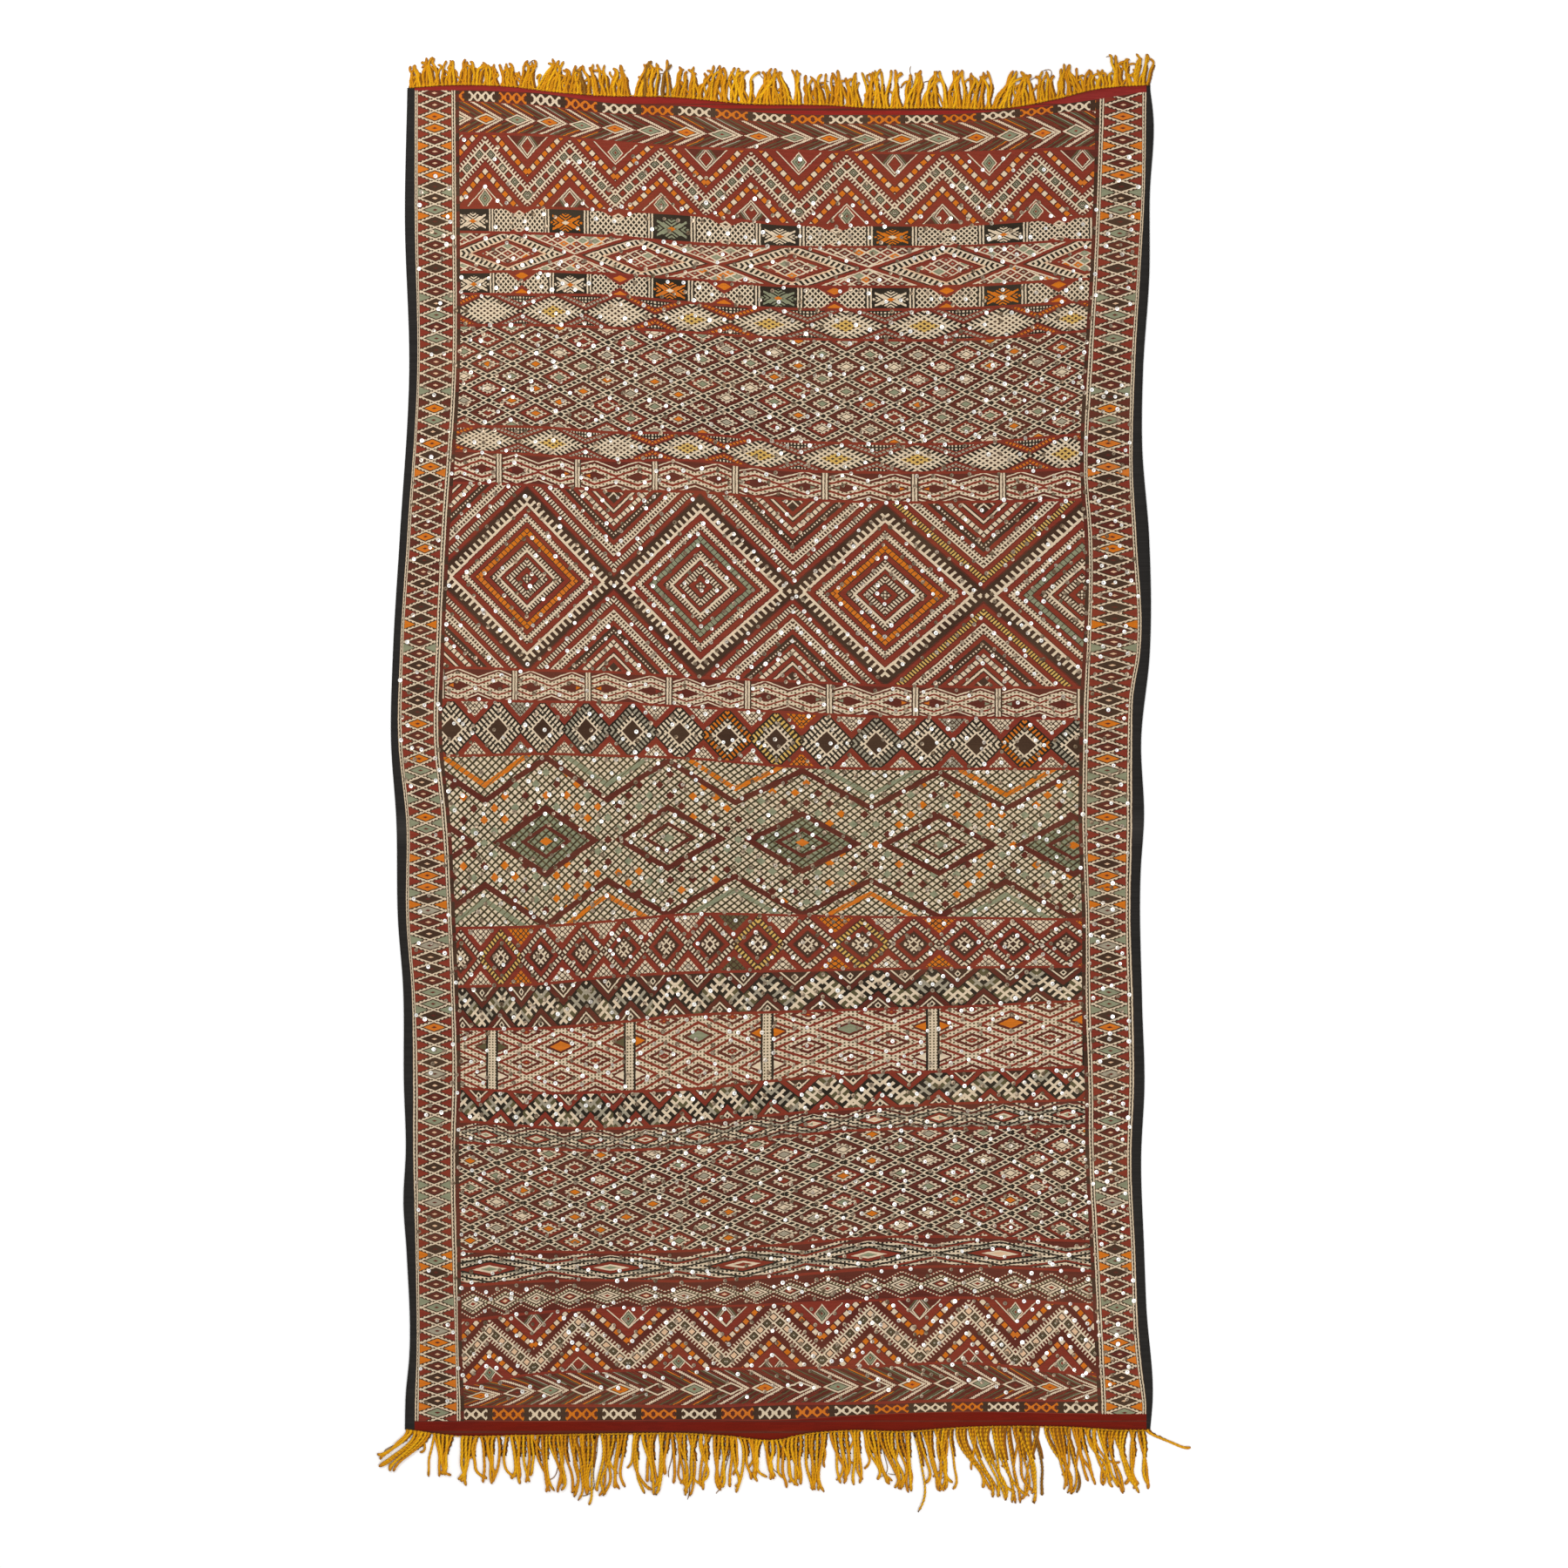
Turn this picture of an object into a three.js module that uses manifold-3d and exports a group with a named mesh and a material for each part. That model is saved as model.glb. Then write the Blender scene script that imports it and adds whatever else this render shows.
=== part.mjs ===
// Flat-woven wool rug with a knotted, corded fringe at both ends, lying flat.
// Millimetres. X across the rug, +Y along it towards the short fringe, +Z up, origin on the floor
// under the middle of the rug with its fringes.
import * as THREE from 'three';
import * as BufferGeometryUtils from 'three/addons/utils/BufferGeometryUtils.js';
import Module from 'manifold-3d';

const wasm = await Module();
wasm.setup();

// Driving sizes
const FIELD_THICK = 3.0; // brocaded cloth
const SELVEDGE_THICK = 2.4; // plain black edge
const HEM_THICK = 2.2; // plain red end
const PUCKER = 0.35; // how far the woven face rises and falls
const PUCKER_ACROSS = 310; // wavelength of the rise and fall across the rug
const PUCKER_ALONG = 190; // and along it
const PUCKER_SWAY = 1.5; // how far the rises wander sideways, in radians of their wave
const SELVEDGE_WIDTH = 18;
const BOTTOM_HEM = 27;
const TOP_HEM = 14;
const HEM_STEP = 7; // length over which the thin hem grows to full thickness
const CLOTH_COLUMNS = 20; // inner columns of the cloth's grid, past the two selvedges
const CLOTH_ROWS = 30; // inner rows, past the two hems

const KNOT_ROW_GAP = 0.35; // clearance between the hem and the row of knots
const KNOT_ROW_WIDTH = 6; // length of the row of knots along the rug
const KNOT_ROW_THICK = 3.0;
const CORD_PITCH = 12; // spacing of the cords along the hem
const CORD_ROOT_WIDTH = 4.6;
const CORD_TIP_WIDTH = 2.6;
const CORD_TOP_SHARE = 0.6; // width of a cord's top against its base
const CORD_ROOT_HEIGHT = 2.8;
const CORD_TIP_HEIGHT = 2.2;
const CORD_TIP_PITCH = 4.4; // closest that the tips of one lock lie
const CORD_LEAN_FROM = 0.3; // share of its reach over which a cord still leaves the hem squarely
const CORD_UNEVEN = 9; // how much the cords of one lock differ in length
const SHORT_CORD_STEPS = 2;
const LONG_CORD_STEPS = 3;

// The four wavy edges of the cloth, from corner to corner
const LEFT_EDGE = [
  { y: -1350, x: -792 }, { y: -1274, x: -790 }, { y: -1201, x: -783 }, { y: -983, x: -788 },
  { y: -874, x: -795 }, { y: -764, x: -790 }, { y: -628, x: -794 }, { y: -419, x: -796 },
  { y: -291, x: -806 }, { y: -73, x: -810 }, { y: 91, x: -821 }, { y: 273, x: -817 },
  { y: 510, x: -803 }, { y: 865, x: -783 }, { y: 1183, x: -792 }, { y: 1450, x: -787 },
];
const RIGHT_EDGE = [
  { y: -1350, x: 765 }, { y: -1290, x: 770 }, { y: -1092, x: 757 }, { y: -965, x: 752 },
  { y: -783, x: 746 }, { y: -628, x: 753 }, { y: -455, x: 748 }, { y: -182, x: 745 },
  { y: -73, x: 752 }, { y: 91, x: 746 }, { y: 273, x: 764 }, { y: 510, x: 763 },
  { y: 710, x: 748 }, { y: 865, x: 750 }, { y: 1065, x: 763 }, { y: 1229, x: 764 },
  { y: 1400, x: 771 }, { y: 1450, x: 765 },
];
const BOTTOM_EDGE = [
  { x: -792, y: -1348 }, { x: -686, y: -1361 }, { x: -551, y: -1360 }, { x: -311, y: -1356 },
  { x: -206, y: -1356 }, { x: -126, y: -1361 }, { x: -9, y: -1369 }, { x: 35, y: -1359 },
  { x: 142, y: -1350 }, { x: 249, y: -1352 }, { x: 364, y: -1344 }, { x: 595, y: -1343 },
  { x: 702, y: -1349 }, { x: 766, y: -1349 },
];
const TOP_EDGE = [
  { x: -787, y: 1454 }, { x: -693, y: 1460 }, { x: -564, y: 1456 }, { x: -491, y: 1447 },
  { x: -400, y: 1439 }, { x: -218, y: 1434 }, { x: -75, y: 1421 }, { x: 91, y: 1418 },
  { x: 189, y: 1412 }, { x: 306, y: 1412 }, { x: 479, y: 1414 }, { x: 568, y: 1431 },
  { x: 653, y: 1452 }, { x: 765, y: 1461 },
];

// Locks of cords: the stretch of hem that a lock springs from, where its tips lie, and how far out
// they end, as a place along the rug
const TOP_LOCKS = [
  { from: -784, to: -757, tipFrom: -784, tipTo: -766, end: 1503 },
  { from: -757, to: -720, tipFrom: -752, tipTo: -729, end: 1519 },
  { from: -716, to: -685, tipFrom: -706, tipTo: -688, end: 1513 },
  { from: -685, to: -646, tipFrom: -671, tipTo: -650, end: 1517 },
  { from: -644, to: -610, tipFrom: -636, tipTo: -613, end: 1511 },
  { from: -610, to: -558, tipFrom: -606, tipTo: -564, end: 1506 },
  { from: -556, to: -520, tipFrom: -541, tipTo: -518, end: 1512 },
  { from: -520, to: -464, tipFrom: -493, tipTo: -462, end: 1516 },
  { from: -464, to: -405, tipFrom: -452, tipTo: -418, end: 1502 },
  { from: -398, to: -364, tipFrom: -401, tipTo: -374, end: 1505 },
  { from: -364, to: -322, tipFrom: -350, tipTo: -332, end: 1502 },
  { from: -314, to: -266, tipFrom: -288, tipTo: -264, end: 1515 },
  { from: -256, to: -233, tipFrom: -250, tipTo: -240, end: 1515 },
  { from: -233, to: -178, tipFrom: -217, tipTo: -184, end: 1500 },
  { from: -178, to: -115, tipFrom: -155, tipTo: -124, end: 1502 },
  { from: -115, to: -75, tipFrom: -103, tipTo: -82, end: 1499 },
  { from: -75, to: 13, tipFrom: -56, tipTo: -2, end: 1496 },
  { from: 13, to: 36, tipFrom: 14, tipTo: 27, end: 1493 },
  { from: 44, to: 93, tipFrom: 46, tipTo: 86, end: 1484 },
  { from: 93, to: 132, tipFrom: 100, tipTo: 123, end: 1492 },
  { from: 132, to: 170, tipFrom: 134, tipTo: 162, end: 1489 },
  { from: 170, to: 213, tipFrom: 183, tipTo: 206, end: 1494 },
  { from: 213, to: 248, tipFrom: 220, tipTo: 244, end: 1493 },
  { from: 248, to: 284, tipFrom: 258, tipTo: 286, end: 1491 },
  { from: 286, to: 343, tipFrom: 312, tipTo: 333, end: 1490 },
  { from: 343, to: 379, tipFrom: 354, tipTo: 378, end: 1493 },
  { from: 379, to: 432, tipFrom: 402, tipTo: 430, end: 1492 },
  { from: 432, to: 526, tipFrom: 474, tipTo: 517, end: 1490 },
  { from: 526, to: 567, tipFrom: 533, tipTo: 560, end: 1490 },
  { from: 567, to: 625, tipFrom: 572, tipTo: 611, end: 1505 },
  { from: 625, to: 683, tipFrom: 639, tipTo: 678, end: 1494 },
  { from: 683, to: 695, tipFrom: 686, tipTo: 686, end: 1533 },
  { from: 695, to: 726, tipFrom: 694, tipTo: 714, end: 1528 },
  { from: 726, to: 762, tipFrom: 728, tipTo: 779, end: 1526 },
];
const BOTTOM_LOCKS = [
  { from: -790, to: -775, tipFrom: -847, tipTo: -838, end: -1414 },
  { from: -775, to: -737, tipFrom: -836, tipTo: -806, end: -1438 },
  { from: -736, to: -690, tipFrom: -732, tipTo: -697, end: -1456 },
  { from: -675, to: -650, tipFrom: -675, tipTo: -664, end: -1467 },
  { from: -646, to: -594, tipFrom: -635, tipTo: -597, end: -1462 },
  { from: -584, to: -522, tipFrom: -571, tipTo: -524, end: -1464 },
  { from: -518, to: -460, tipFrom: -488, tipTo: -460, end: -1484 },
  { from: -460, to: -422, tipFrom: -440, tipTo: -424, end: -1497 },
  { from: -422, to: -398, tipFrom: -414, tipTo: -406, end: -1490 },
  { from: -398, to: -387, tipFrom: -397, tipTo: -397, end: -1533 },
  { from: -387, to: -352, tipFrom: -384, tipTo: -372, end: -1496 },
  { from: -352, to: -325, tipFrom: -348, tipTo: -330, end: -1479 },
  { from: -318, to: -247, tipFrom: -288, tipTo: -258, end: -1486 },
  { from: -245, to: -231, tipFrom: -241, tipTo: -235, end: -1464 },
  { from: -230, to: -188, tipFrom: -213, tipTo: -192, end: -1488 },
  { from: -187, to: -151, tipFrom: -178, tipTo: -157, end: -1483 },
  { from: -150, to: -90, tipFrom: -138, tipTo: -93, end: -1480 },
  { from: -87, to: -46, tipFrom: -68, tipTo: -44, end: -1461 },
  { from: -46, to: -14, tipFrom: -30, tipTo: -10, end: -1459 },
  { from: -14, to: 6, tipFrom: -4, tipTo: 4, end: -1472 },
  { from: 6, to: 38, tipFrom: 16, tipTo: 38, end: -1475 },
  { from: 42, to: 90, tipFrom: 60, tipTo: 82, end: -1485 },
  { from: 93, to: 159, tipFrom: 113, tipTo: 155, end: -1465 },
  { from: 163, to: 196, tipFrom: 204, tipTo: 224, end: -1463 },
  { from: 196, to: 264, tipFrom: 238, tipTo: 268, end: -1482 },
  { from: 264, to: 275, tipFrom: 278, tipTo: 278, end: -1533 },
  { from: 275, to: 354, tipFrom: 298, tipTo: 354, end: -1484 },
  { from: 356, to: 398, tipFrom: 421, tipTo: 450, end: -1494 },
  { from: 398, to: 471, tipFrom: 460, tipTo: 499, end: -1503 },
  { from: 473, to: 532, tipFrom: 506, tipTo: 533, end: -1505 },
  { from: 542, to: 597, tipFrom: 573, tipTo: 612, end: -1486 },
  { from: 598, to: 650, tipFrom: 635, tipTo: 675, end: -1467 },
  { from: 650, to: 752, tipFrom: 695, tipTo: 760, end: -1483 },
  { from: 752, to: 764, tipFrom: 838, tipTo: 847, end: -1398 },
];

const lerp = THREE.MathUtils.lerp;

// A smooth edge through the rows of a table
function edgeThrough(rows, along, across) {
  const places = rows.map((row) => row[along]);
  const values = rows.map((row) => row[across]);
  const curve = new THREE.CubicInterpolant(places, values, 1);
  return (place) => curve.evaluate(place)[0];
}

const leftEdge = edgeThrough(LEFT_EDGE, 'y', 'x');
const rightEdge = edgeThrough(RIGHT_EDGE, 'y', 'x');
const bottomEdge = edgeThrough(BOTTOM_EDGE, 'x', 'y');
const topEdge = edgeThrough(TOP_EDGE, 'x', 'y');
const BOTTOM_LEVEL = LEFT_EDGE[0].y;
const TOP_LEVEL = LEFT_EDGE[LEFT_EDGE.length - 1].y;
const MEAN_WIDTH = rightEdge(0) - leftEdge(0);
const MEAN_LENGTH = TOP_LEVEL - BOTTOM_LEVEL;

// Grid lines of the cloth, as shares of its width and length: a line at each side of a selvedge
// or hem, and even spacing between
function gridLines(startBorder, endBorder, step, count) {
  const inner = [];
  for (let i = 0; i <= count; i += 1) {
    inner.push(lerp(startBorder + step, 1 - endBorder - step, i / count));
  }
  return [0, startBorder, ...inner, 1 - endBorder, 1];
}

const SELVEDGE_SHARE = SELVEDGE_WIDTH / MEAN_WIDTH;
const columns = gridLines(SELVEDGE_SHARE, SELVEDGE_SHARE, HEM_STEP / MEAN_WIDTH, CLOTH_COLUMNS);
const rows = gridLines(
  BOTTOM_HEM / MEAN_LENGTH, TOP_HEM / MEAN_LENGTH, HEM_STEP / MEAN_LENGTH, CLOTH_ROWS);

// A closed box of cells whose corners are each moved to place(column, row, onTop)
function shapedBox(columnCount, rowCount, place) {
  const box = new THREE.BoxGeometry(1, 1, 1, columnCount, rowCount, 1);
  box.deleteAttribute('normal');
  box.deleteAttribute('uv');
  const closed = BufferGeometryUtils.mergeVertices(box);
  const corners = closed.attributes.position;
  for (let i = 0; i < corners.count; i += 1) {
    const column = Math.round((corners.getX(i) + 0.5) * columnCount);
    const row = Math.round((corners.getY(i) + 0.5) * rowCount);
    const onTop = corners.getZ(i) > 0;
    const point = place(column, row, onTop);
    corners.setXYZ(i, point.x, point.y, point.z);
  }
  return closed;
}

// Where a share of the width and of the length lies on the floor
function clothPoint(across, along) {
  const level = lerp(BOTTOM_LEVEL, TOP_LEVEL, along);
  const x = lerp(leftEdge(level), rightEdge(level), across);
  const y = lerp(bottomEdge(x), topEdge(x), along);
  return new THREE.Vector2(x, y);
}

// The gentle rise and fall of the woven face
function pucker(x, y) {
  const sway = PUCKER_SWAY * Math.sin(y / PUCKER_ALONG);
  const across = Math.sin((2 * Math.PI * x) / PUCKER_ACROSS + sway);
  const along = Math.cos((2 * Math.PI * y) / PUCKER_ALONG + x / PUCKER_ACROSS);
  return PUCKER * across * along;
}

// The woven cloth, flat below and uneven above, thinner at its selvedges and hems
function kilimCloth() {
  const lastColumn = columns.length - 1;
  const lastRow = rows.length - 1;
  return shapedBox(lastColumn, lastRow, (column, row, onTop) => {
    const point = clothPoint(columns[column], rows[row]);
    const inHem = row < 2 || row > lastRow - 2;
    const inSelvedge = column < 2 || column > lastColumn - 2;
    let height = FIELD_THICK + pucker(point.x, point.y);
    if (inSelvedge) height = SELVEDGE_THICK;
    if (inHem) height = HEM_THICK;
    return new THREE.Vector3(point.x, point.y, onTop ? height : 0);
  });
}

// The corners of the cloth along one hem, from left to right
function hemLine(along) {
  return columns.map((across) => clothPoint(across, along));
}

// Where the hem is beside a place across the rug
function hemAt(line, x) {
  const next = Math.max(1, line.findIndex((point) => point.x >= x));
  const before = line[next - 1];
  const share = (x - before.x) / (line[next].x - before.x);
  return lerp(before.y, line[next].y, share);
}

// The row of knots that the cords spring from, out is +1 at the top end and -1 at the bottom
function knotRow(line, out) {
  return shapedBox(line.length - 1, 1, (column, row, onTop) => {
    const isOuter = out > 0 ? row === 1 : row === 0;
    const offset = KNOT_ROW_GAP + (isOuter ? KNOT_ROW_WIDTH : 0);
    const point = line[column];
    return new THREE.Vector3(point.x, point.y + out * offset, onTop ? KNOT_ROW_THICK : 0);
  });
}

// One flat-based cord that lies on the floor from root to tip
function cord(root, tip, steps) {
  const square = new THREE.Vector2(root.x, lerp(root.y, tip.y, CORD_LEAN_FROM));
  const path = new THREE.QuadraticBezierCurve(root, square, tip);
  const isDown = tip.y < root.y;
  return shapedBox(1, steps, (column, row, onTop) => {
    const along = isDown ? 1 - row / steps : row / steps;
    const middle = path.getPoint(along);
    const heading = path.getTangent(along);
    const side = new THREE.Vector2(heading.y, -heading.x).multiplyScalar(isDown ? -1 : 1);
    const width = lerp(CORD_ROOT_WIDTH, CORD_TIP_WIDTH, along) * (onTop ? CORD_TOP_SHARE : 1);
    middle.addScaledVector(side, (column - 0.5) * width);
    const height = lerp(CORD_ROOT_HEIGHT, CORD_TIP_HEIGHT, along);
    return new THREE.Vector3(middle.x, middle.y, onTop ? height : 0);
  });
}

// How far a cord falls short of its lock's end, the same for a cord each time
function unevenness(index) {
  return THREE.MathUtils.seededRandom(index + 1) * CORD_UNEVEN;
}

// All cords of one fringe, lock by lock
function cordsOf(locks, line, out, steps) {
  const cords = [];
  for (const lock of locks) {
    const count = Math.max(1, Math.round((lock.to - lock.from) / CORD_PITCH));
    const tipMiddle = (lock.tipFrom + lock.tipTo) / 2;
    const tipSpread = Math.max(lock.tipTo - lock.tipFrom, count * CORD_TIP_PITCH);
    for (let i = 0; i < count; i += 1) {
      const share = (i + 0.5) / count;
      const x = lerp(lock.from, lock.to, share);
      const rootY = hemAt(line, x) + out * (KNOT_ROW_GAP + KNOT_ROW_WIDTH / 2);
      const tipX = tipMiddle + (share - 0.5) * tipSpread;
      const shortfall = count > 1 ? unevenness(cords.length) : 0;
      const tipY = lock.end - out * shortfall;
      const root = new THREE.Vector2(x, rootY);
      cords.push(cord(root, new THREE.Vector2(tipX, tipY), steps));
    }
  }
  return cords;
}

function solidOf(geometry) {
  const mesh = new wasm.Mesh({
    numProp: 3,
    vertProperties: geometry.attributes.position.array,
    triVerts: new Uint32Array(geometry.index.array),
  });
  return new wasm.Manifold(mesh);
}

function geometryOf(solid) {
  const mesh = solid.getMesh();
  const geometry = new THREE.BufferGeometry();
  geometry.setAttribute('position', new THREE.BufferAttribute(mesh.vertProperties, mesh.numProp));
  geometry.setIndex(new THREE.BufferAttribute(mesh.triVerts, 1));
  return geometry;
}

// One fringe: the row of knots with its cords fused to it
function fringe(locks, along, out, steps) {
  const line = hemLine(along);
  let solid = solidOf(knotRow(line, out));
  for (const geometry of cordsOf(locks, line, out, steps)) {
    solid = solid.add(solidOf(geometry));
  }
  return geometryOf(solid);
}

const woolCloth = new THREE.MeshStandardMaterial({ color: 0x7c4a3a, roughness: 0.95, metalness: 0 });
const goldenWool = new THREE.MeshStandardMaterial({ color: 0xd8960f, roughness: 0.9, metalness: 0 });

function named(name, geometry, material) {
  const mesh = new THREE.Mesh(geometry, material);
  mesh.name = name;
  return mesh;
}

const rug = new THREE.Group();
rug.name = 'kilim_rug';
rug.add(named('kilim_cloth', kilimCloth(), woolCloth));
rug.add(named('fringe_top', fringe(TOP_LOCKS, 1, 1, SHORT_CORD_STEPS), goldenWool));
rug.add(named('fringe_bottom', fringe(BOTTOM_LOCKS, 0, -1, LONG_CORD_STEPS), goldenWool));

export default rug;
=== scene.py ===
# %% [markdown]
# A flat-woven wool rug, seen from straight above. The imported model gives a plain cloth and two
# plain fringes at their real size. Here they get their looks: the brocaded bands, the borders,
# the black edges, the hems, the sewn-on sequins and the twisted golden cords. The script starts
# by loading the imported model, so that all that follows is made in its place and size.

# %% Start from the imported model
import math

import bpy
import numpy as np
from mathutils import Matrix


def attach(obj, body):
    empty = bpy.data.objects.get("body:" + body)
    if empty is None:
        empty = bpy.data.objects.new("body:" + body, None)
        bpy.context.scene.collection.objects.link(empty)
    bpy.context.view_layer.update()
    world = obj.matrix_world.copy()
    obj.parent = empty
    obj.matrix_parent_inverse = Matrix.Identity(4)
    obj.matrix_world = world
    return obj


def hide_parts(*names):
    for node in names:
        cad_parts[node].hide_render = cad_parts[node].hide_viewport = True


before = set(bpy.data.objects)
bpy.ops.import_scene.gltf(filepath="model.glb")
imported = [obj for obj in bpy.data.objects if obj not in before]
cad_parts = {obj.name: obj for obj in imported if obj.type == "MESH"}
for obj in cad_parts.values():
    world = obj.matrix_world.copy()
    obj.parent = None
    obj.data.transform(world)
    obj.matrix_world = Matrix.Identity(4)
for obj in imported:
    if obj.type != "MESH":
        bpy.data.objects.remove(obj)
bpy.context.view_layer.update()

# %% [markdown]
# The view is a square, 1800 steps wide. One step is 1.82 mm on the cloth, and the
# middle of the view is the middle of the rug. Places along the bands were counted in these
# steps, so two small functions turn a count into metres.

# %% From steps of the view to metres on the rug
STEP = 0.00182
VIEW_STEPS = 1800
MIDDLE = VIEW_STEPS / 2


def across_m(count):
    return (np.asarray(count, dtype=float) - MIDDLE) * STEP


def along_m(count):
    return (MIDDLE - np.asarray(count, dtype=float)) * STEP


def across_steps(metres):
    return np.asarray(metres, dtype=float) / STEP + MIDDLE


def along_steps(metres):
    return MIDDLE - np.asarray(metres, dtype=float) / STEP


print("the view is", round(VIEW_STEPS * STEP, 3), "m wide")

# %% [markdown]
# The camera hangs straight over the middle of the rug and looks down, with the short fringe at
# the top. A lens near by would make the far corners smaller, so a long lens is set far away: it
# keeps the edges straight, as on a flat copy of a textile.

# %% Camera
LENS_MM = 100.0
SENSOR_MM = 36.0
camera_data = bpy.data.cameras.new("camera_above")
camera_data.lens = LENS_MM
camera_data.sensor_width = SENSOR_MM
camera = bpy.data.objects.new("camera_above", camera_data)
camera.location = (0, 0, VIEW_STEPS * STEP * LENS_MM / SENSOR_MM)
bpy.context.collection.objects.link(camera)
bpy.context.scene.camera = camera
print("camera height", round(camera.location.z, 2), "m")

# %% [markdown]
# The cloth's four edges wander, because the loom's tension was never quite even. A plain
# rectangle would look cut by a machine. So each edge is a short table of points in millimetres,
# and a smooth curve runs through them, as a maker would bend a thin lath round a few nails.

# %% Outline of the cloth
MM = 0.001


def smooth_line(points):
    """A smooth curve through a few (place, value) points; straight on past its ends."""
    place, value = np.array(points, dtype=float).T
    slope = np.gradient(value, place)

    def at(where):
        where = np.clip(np.asarray(where, dtype=float), place[0], place[-1])
        left = np.clip(np.searchsorted(place, where, side="right") - 1, 0, len(place) - 2)
        gap = place[left + 1] - place[left]
        share = (where - place[left]) / gap
        start = value[left] * (1 + 2 * share) * (1 - share) ** 2
        end = value[left + 1] * share**2 * (3 - 2 * share)
        lean = gap * share * (1 - share) * (slope[left] * (1 - share) - slope[left + 1] * share)
        return start + end + lean

    return at


# (y, x) in mm
LEFT_EDGE = smooth_line([
    (-1350, -792), (-1274, -790), (-1201, -783), (-983, -788), (-874, -795), (-764, -790),
    (-628, -794), (-419, -796), (-291, -806), (-73, -810), (91, -821), (273, -817),
    (510, -803), (865, -783), (1183, -792), (1450, -787),
])
RIGHT_EDGE = smooth_line([
    (-1350, 765), (-1290, 770), (-1092, 757), (-965, 752), (-783, 746), (-628, 753),
    (-455, 748), (-182, 745), (-73, 752), (91, 746), (273, 764), (510, 763), (710, 748),
    (865, 750), (1065, 763), (1229, 764), (1400, 771), (1450, 765),
])
# (x, y) in mm
BOTTOM_EDGE = smooth_line([
    (-792, -1348), (-686, -1361), (-551, -1360), (-311, -1356), (-206, -1356), (-126, -1361),
    (-9, -1369), (35, -1359), (142, -1350), (249, -1352), (364, -1344), (595, -1343),
    (702, -1349), (766, -1349),
])
TOP_EDGE = smooth_line([
    (-787, 1454), (-693, 1460), (-564, 1456), (-491, 1447), (-400, 1439), (-218, 1434),
    (-75, 1421), (91, 1418), (189, 1412), (306, 1412), (479, 1414), (568, 1431), (653, 1452),
    (765, 1461),
])

# %% [markdown]
# Down each side run, from the outside in: a black selvedge, a double cream line, a guard
# border and a second double cream line. Their places wander with the edge. Each row below
# gives a height down the view and the four lines, in steps, so that the borders can follow.

# %% Lines of the side borders
# (down the view, black ends, outer cream line ends, guard ends, inner cream line ends)
LEFT_LINES = [
    (110, 476, 480, 518, 523), (250, 476, 480, 519, 524), (425, 479, 482, 519, 524),
    (620, 467, 471, 506, 512), (750, 459, 463, 500, 506), (850, 457, 462, 498, 504),
    (940, 466, 470, 507, 513), (1060, 466.5, 470.5, 514, 519), (1130, 472, 476, 517, 522),
    (1245, 474, 480, 519, 525), (1320, 474, 480, 517, 523), (1440, 477, 481, 519, 525),
    (1560, 478, 482, 523, 527), (1610, 476, 481, 524, 529),
]
# (down the view, inner cream line starts, guard starts, outer cream line starts, black starts)
RIGHT_LINES = [
    (115, 1262, 1268, 1311, 1316), (225, 1259, 1264, 1310, 1314), (315, 1255, 1260, 1305, 1309),
    (425, 1248, 1254, 1298, 1303), (540, 1244, 1248.5, 1296, 1300.5), (620, 1249, 1254, 1300, 1305),
    (750, 1247, 1252, 1304, 1309), (800, 1244, 1250, 1296, 1301), (850, 1243, 1249, 1294, 1300),
    (940, 1242, 1248, 1293, 1300), (1060, 1246, 1251, 1292, 1298), (1150, 1246, 1252, 1294, 1301),
    (1245, 1249, 1255, 1296, 1302), (1330, 1250, 1256, 1293.5, 1299), (1430, 1255, 1261, 1298, 1303),
    (1550, 1261, 1267, 1303, 1309), (1610, 1264, 1270, 1311, 1316),
]
left_lines = [smooth_line([(row[0], row[i]) for row in LEFT_LINES]) for i in (1, 2, 3, 4)]
right_lines = [smooth_line([(row[0], row[i]) for row in RIGHT_LINES]) for i in (1, 2, 3, 4)]
DARK_STRIP = 4.0  # plain dark warp-faced strip between the inner line and the bands, in steps
print("side borders at the middle", [round(float(line(MIDDLE))) for line in left_lines + right_lines])

# %% [markdown]
# Between the borders lie 25 bands of brocade. A weaver beats each one down by hand, so it
# rises and falls across the rug. One table gives where each band ends, at eight places across,
# and another counts the middles of its motifs from left to right.

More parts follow.
